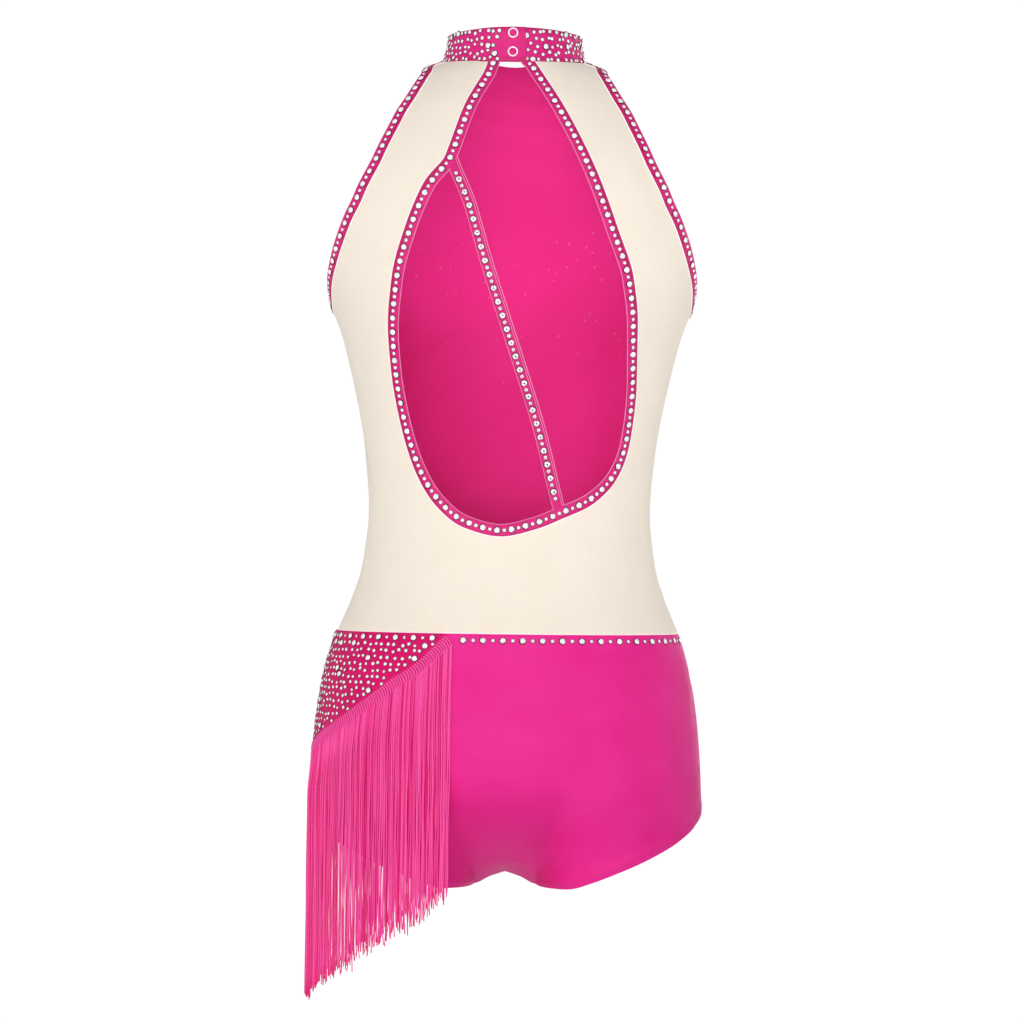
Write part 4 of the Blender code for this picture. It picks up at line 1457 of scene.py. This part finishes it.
def glueBacks(spots):
    # pale dots on the reverse, where the chest's stones are heat set
    points, normals = clothFrame(spots)
    centres = points - normals * 0.88
    angles = [2 * math.pi * k / 8 for k in range(8)]
    template = np.array([*((math.cos(a) * 0.5, math.sin(a) * 0.5, 0) for a in angles), (0, 0, 0.12)])
    faces = [(k, (k + 1) % 8, 8) for k in range(8)]
    sizes = random.uniform(1.2, 2.4, len(spots))
    along = np.broadcast_to(np.array([1.0, 0.1, 0.2]), normals.shape)
    looksOf = np.zeros(8, int)
    return placeMany("glueBacks", template, faces, looksOf, ["glue"], centres, along, -normals, sizes)


gems = bandStones()
gems["waistStones"] = waistStones()
gems["yokeStones"] = yokeStones()
chestSpots, chestSizes = chestStones()
gems["chestStones"] = stonesOnSpots("chestStones", chestSpots, 0.25, chestSizes)
backs = glueBacks(chestSpots[chestSpots[:, 1] > gemRows["glueFrom"]])
facets = len(stoneTemplate(False)[1])
print("stones made:", sum(len(piece.data.polygons) for piece in (collarGems, *gems.values())) // facets)


def edgeCord(name, line, lift, thick, lookName):
    # a fine rounded cord laid along a line
    points, normals = clothFrame(evenly(line, int(lineLengths(line)[-1] / 1.5)))
    middle = points + normals * lift
    beside = unit(np.cross(np.gradient(middle, axis=0), normals))
    rings = ringsRound(middle, normals, beside, thick / 2, 6)
    last = 6 * len(points) - 6
    faces = [*tubeFaces(len(points), 6), range(5, -1, -1), range(last, last + 6)]
    return makePiece(name, rings.reshape(-1, 3), faces, [lookName])


def seamCords():
    mouth = offsetLine(keyholeSeam, keyholeFree, -0.03, 1400)
    sleeve = splitAtSide(offsetLine(armholeSeam, armholeFree, -0.03, 1400))[0]
    waist = paired(np.linspace(-sideTurn, sideTurn, 900), body["waistDrop"] - 1.0)
    cords = {  # line, lift, thickness, look
        # partly piping, partly painted highlight: pale cords on the strap and along the binding's inner edge
        "strapCord": (strapRow(4.75, 1.0), 0.3, 0.7, "paleCordHighlight"),
        "strapLeftCord": (strapRow(-4.75, 1.0), 0.3, 0.5, "paleCordHighlight"),
        "strapSeam": (strapRow(3.1, 1.0), 0.42, 0.4, "paleCordHighlight"),
        "keyholeCord": (offsetLine(keyholeSeam, keyholeFree, 0.985, 1400), 0.15, 0.6, "paleCordHighlight"),
        # painted highlight: near-white glowing cords along the keyhole, armhole and waist seams
        "keyholeEdge": (mouth, 0.2, 0.7, "seamHighlightCord"),
        "armholeEdgeRight": (sleeve, 0.2, 0.7, "seamHighlightCord"),
        "armholeEdgeLeft": (mirrored(sleeve), 0.2, 0.7, "seamHighlightCord"),
        "waistEdge": (waist, 0.25, 0.8, "seamHighlightCord"),
    }
    return {name: edgeCord(name, *cord) for name, cord in cords.items()}


def hemRow(start, end, distance):
    # stitches at a fixed distance above the leg edge
    turns, drops = legTurns(start, end, 400), np.linspace(body["edgeDrop"] - 20, body["edgeDrop"], 41)
    toEdge = edgeDistances(clothPoint(turns, drops[:, None]))
    level = [np.interp(-distance, -column, drops) for column in toEdge.T]
    return stitchPoints(paired(turns, level), brief["lift"] + 0.3)


def bindingRows():
    rows = []
    for share in (0.1, 0.9):
        rows.append(stitchPoints(offsetLine(keyholeSeam, keyholeFree, share), 0.5))
        sleeve = offsetLine(armholeSeam, armholeFree, share)
        rows += [stitchPoints(sleeve, 0.5), stitchPoints(mirrored(sleeve), 0.5)]
    return rows


def yokeRows():
    # under the waist seam round the brief, and along the yoke's two edges
    turns = np.linspace(yokeLine[0, 0] + 1, 360 + yokeLine[-1, 0] - 1, 900)
    inner = evenly(yokeLine, 600)
    return [
        stitchPoints(paired(turns, body["waistDrop"] + 2), brief["lift"] + 0.05),
        stitchPoints(aside(inner, -1.3), yoke["lift"] + 0.05, 2.6),
        stitchPoints(paired(inner[:, 0], body["waistDrop"] + 1), yoke["lift"] + 0.05),
    ]


def sewing():
    strapRows = [stitchPoints(strapRow(-3.5, 1.5), 0.46, 2.3)]
    legs = ((12, sideTurn), (-sideTurn, -12), (sideTurn, 172), (188, 360 - sideTurn))
    hems = [hemRow(start, end, distance) for distance in (4.8, 6.6) for start, end in legs]
    drops = np.linspace(204, body["waistDrop"] - 2, 300)  # from under the armhole to the waist
    nude = [stitchPoints(paired(turn, drops), 0.05) for turn in (sideTurn - 2.0, 2.0 - sideTurn)]
    return {
        "bindingStitches": stitchPiece("bindingStitches", bindingRows(), "thread"),
        "strapStitches": stitchPiece("strapStitches", strapRows, "thread"),
        **seamCords(),
        "hemStitches": stitchPiece("hemStitches", hems, "thread"),
        "yokeStitches": stitchPiece("yokeStitches", yokeRows(), "thread"),
        "sideStitches": stitchPiece("sideStitches", nude, "nudeThread"),
    }


threads = sewing()
print("sewing made")
# Floor, light and camera
stage = {
    "floor": -1.02,
    "floorHalf": 30.0,
    "white": 1.02,  # of the paper and the background
    "lightLevel": 0.38,
    "lamps": (  # name, place, height of the aim, size, spread in degrees, watts
        ("mainLamp", (-0.4, -4.1, -0.15), -0.36, 2.8, 180, 93.0),
        ("lowLamp", (-0.1, -2.4, -2.6), -0.62, 1.6, 180, 8.0),
        ("keyLamp", (-2.4, -2.6, 0.9), -0.36, 1.8, 180, 12.0),
        ("bodiceLampRight", (2.5, -1.3, -0.1), -0.2, 0.5, 18, 0.24),
        ("bodiceLampLeft", (-2.5, -1.3, -0.1), -0.2, 0.5, 18, 0.10),
        ("rimLampRight", (2.5, 1.3, -0.35), -0.36, 1.4, 180, 11.0),
        ("rimLampLeft", (-2.5, 1.3, -0.35), -0.36, 1.4, 180, 8.0),
        ("frontMainLamp", (0.4, 4.1, -0.15), -0.36, 2.8, 180, 90.0),
        ("frontLowLamp", (0.1, 2.4, -2.6), -0.62, 1.6, 180, 8.0),
        ("frontKeyLamp", (2.4, 2.6, 0.9), -0.36, 1.8, 180, 12.0),
    ),
    "distance": 4.0,
    "lens": 171.0,
    "height": -0.356,
    "sideways": 0.0021,
    "roll": 0.69,
}


def makeStage():
    mesh = bpy.data.meshes.new("floor")
    half = stage["floorHalf"]
    corners = [(-half, -half, 0), (half, -half, 0), (half, half, 0), (-half, half, 0)]
    mesh.from_pydata(corners, [], [(0, 1, 2, 3)])
    floor = bpy.data.objects.new("floor", mesh)
    floor.location.z = stage["floor"]
    bpy.context.scene.collection.objects.link(floor)
    paper = bpy.data.materials.new("floorPaper")
    paper.use_nodes = True
    shader = paper.node_tree.nodes["Principled BSDF"]
    shader.inputs["Base Color"].default_value = (0, 0, 0, 1)
    shader.inputs["Roughness"].default_value = 0.9
    shader.inputs["Emission Color"].default_value = (1, 1, 1, 1)
    shader.inputs["Specular IOR Level"].default_value = 0.0
    shader.inputs["Emission Strength"].default_value = stage["white"]
    mesh.materials.append(paper)
    floor.visible_diffuse = floor.visible_glossy = False  # it throws no light back up
    floor.visible_shadow = False  # and lets the low lamps through
    world = bpy.data.worlds.new("studio")
    world.use_nodes = True
    nodes, links = world.node_tree.nodes, world.node_tree.links
    soft = nodes["Background"]
    soft.inputs["Color"].default_value = (1, 1, 1, 1)
    soft.inputs["Strength"].default_value = stage["lightLevel"]
    white = nodes.new("ShaderNodeBackground")
    white.inputs["Color"].default_value = (1, 1, 1, 1)
    white.inputs["Strength"].default_value = stage["white"]
    rays = nodes.new("ShaderNodeLightPath")
    mix = nodes.new("ShaderNodeMixShader")
    links.new(rays.outputs["Is Camera Ray"], mix.inputs["Fac"])
    links.new(soft.outputs[0], mix.inputs[1])
    links.new(white.outputs[0], mix.inputs[2])
    links.new(mix.outputs[0], nodes["World Output"].inputs["Surface"])
    bpy.context.scene.world = world
    bpy.context.scene.view_settings.view_transform = "Standard"


def makeLamps():
    for name, place, aim, size, spread, watts in stage["lamps"]:
        lamp = bpy.data.lights.new(name, "AREA")
        lamp.size, lamp.spread, lamp.energy = size, math.radians(spread), watts
        holder = bpy.data.objects.new(name, lamp)
        holder.location = place
        holder.rotation_euler = (Vector((0, 0, aim)) - Vector(place)).to_track_quat("-Z", "Y").to_euler()
        bpy.context.scene.collection.objects.link(holder)


def makeCamera():
    data = bpy.data.cameras.new("camera")
    data.lens = stage["lens"]
    data.sensor_width = 36.0
    camera = bpy.data.objects.new("camera", data)
    place = Matrix.Translation((stage["sideways"], -stage["distance"], stage["height"]))
    upright = Matrix.Rotation(math.radians(90), 4, "X")
    camera.matrix_world = place @ upright @ Matrix.Rotation(math.radians(stage["roll"]), 4, "Z")
    bpy.context.scene.collection.objects.link(camera)
    bpy.context.scene.camera = camera


makeStage()
makeLamps()
makeCamera()
print("stage ready")
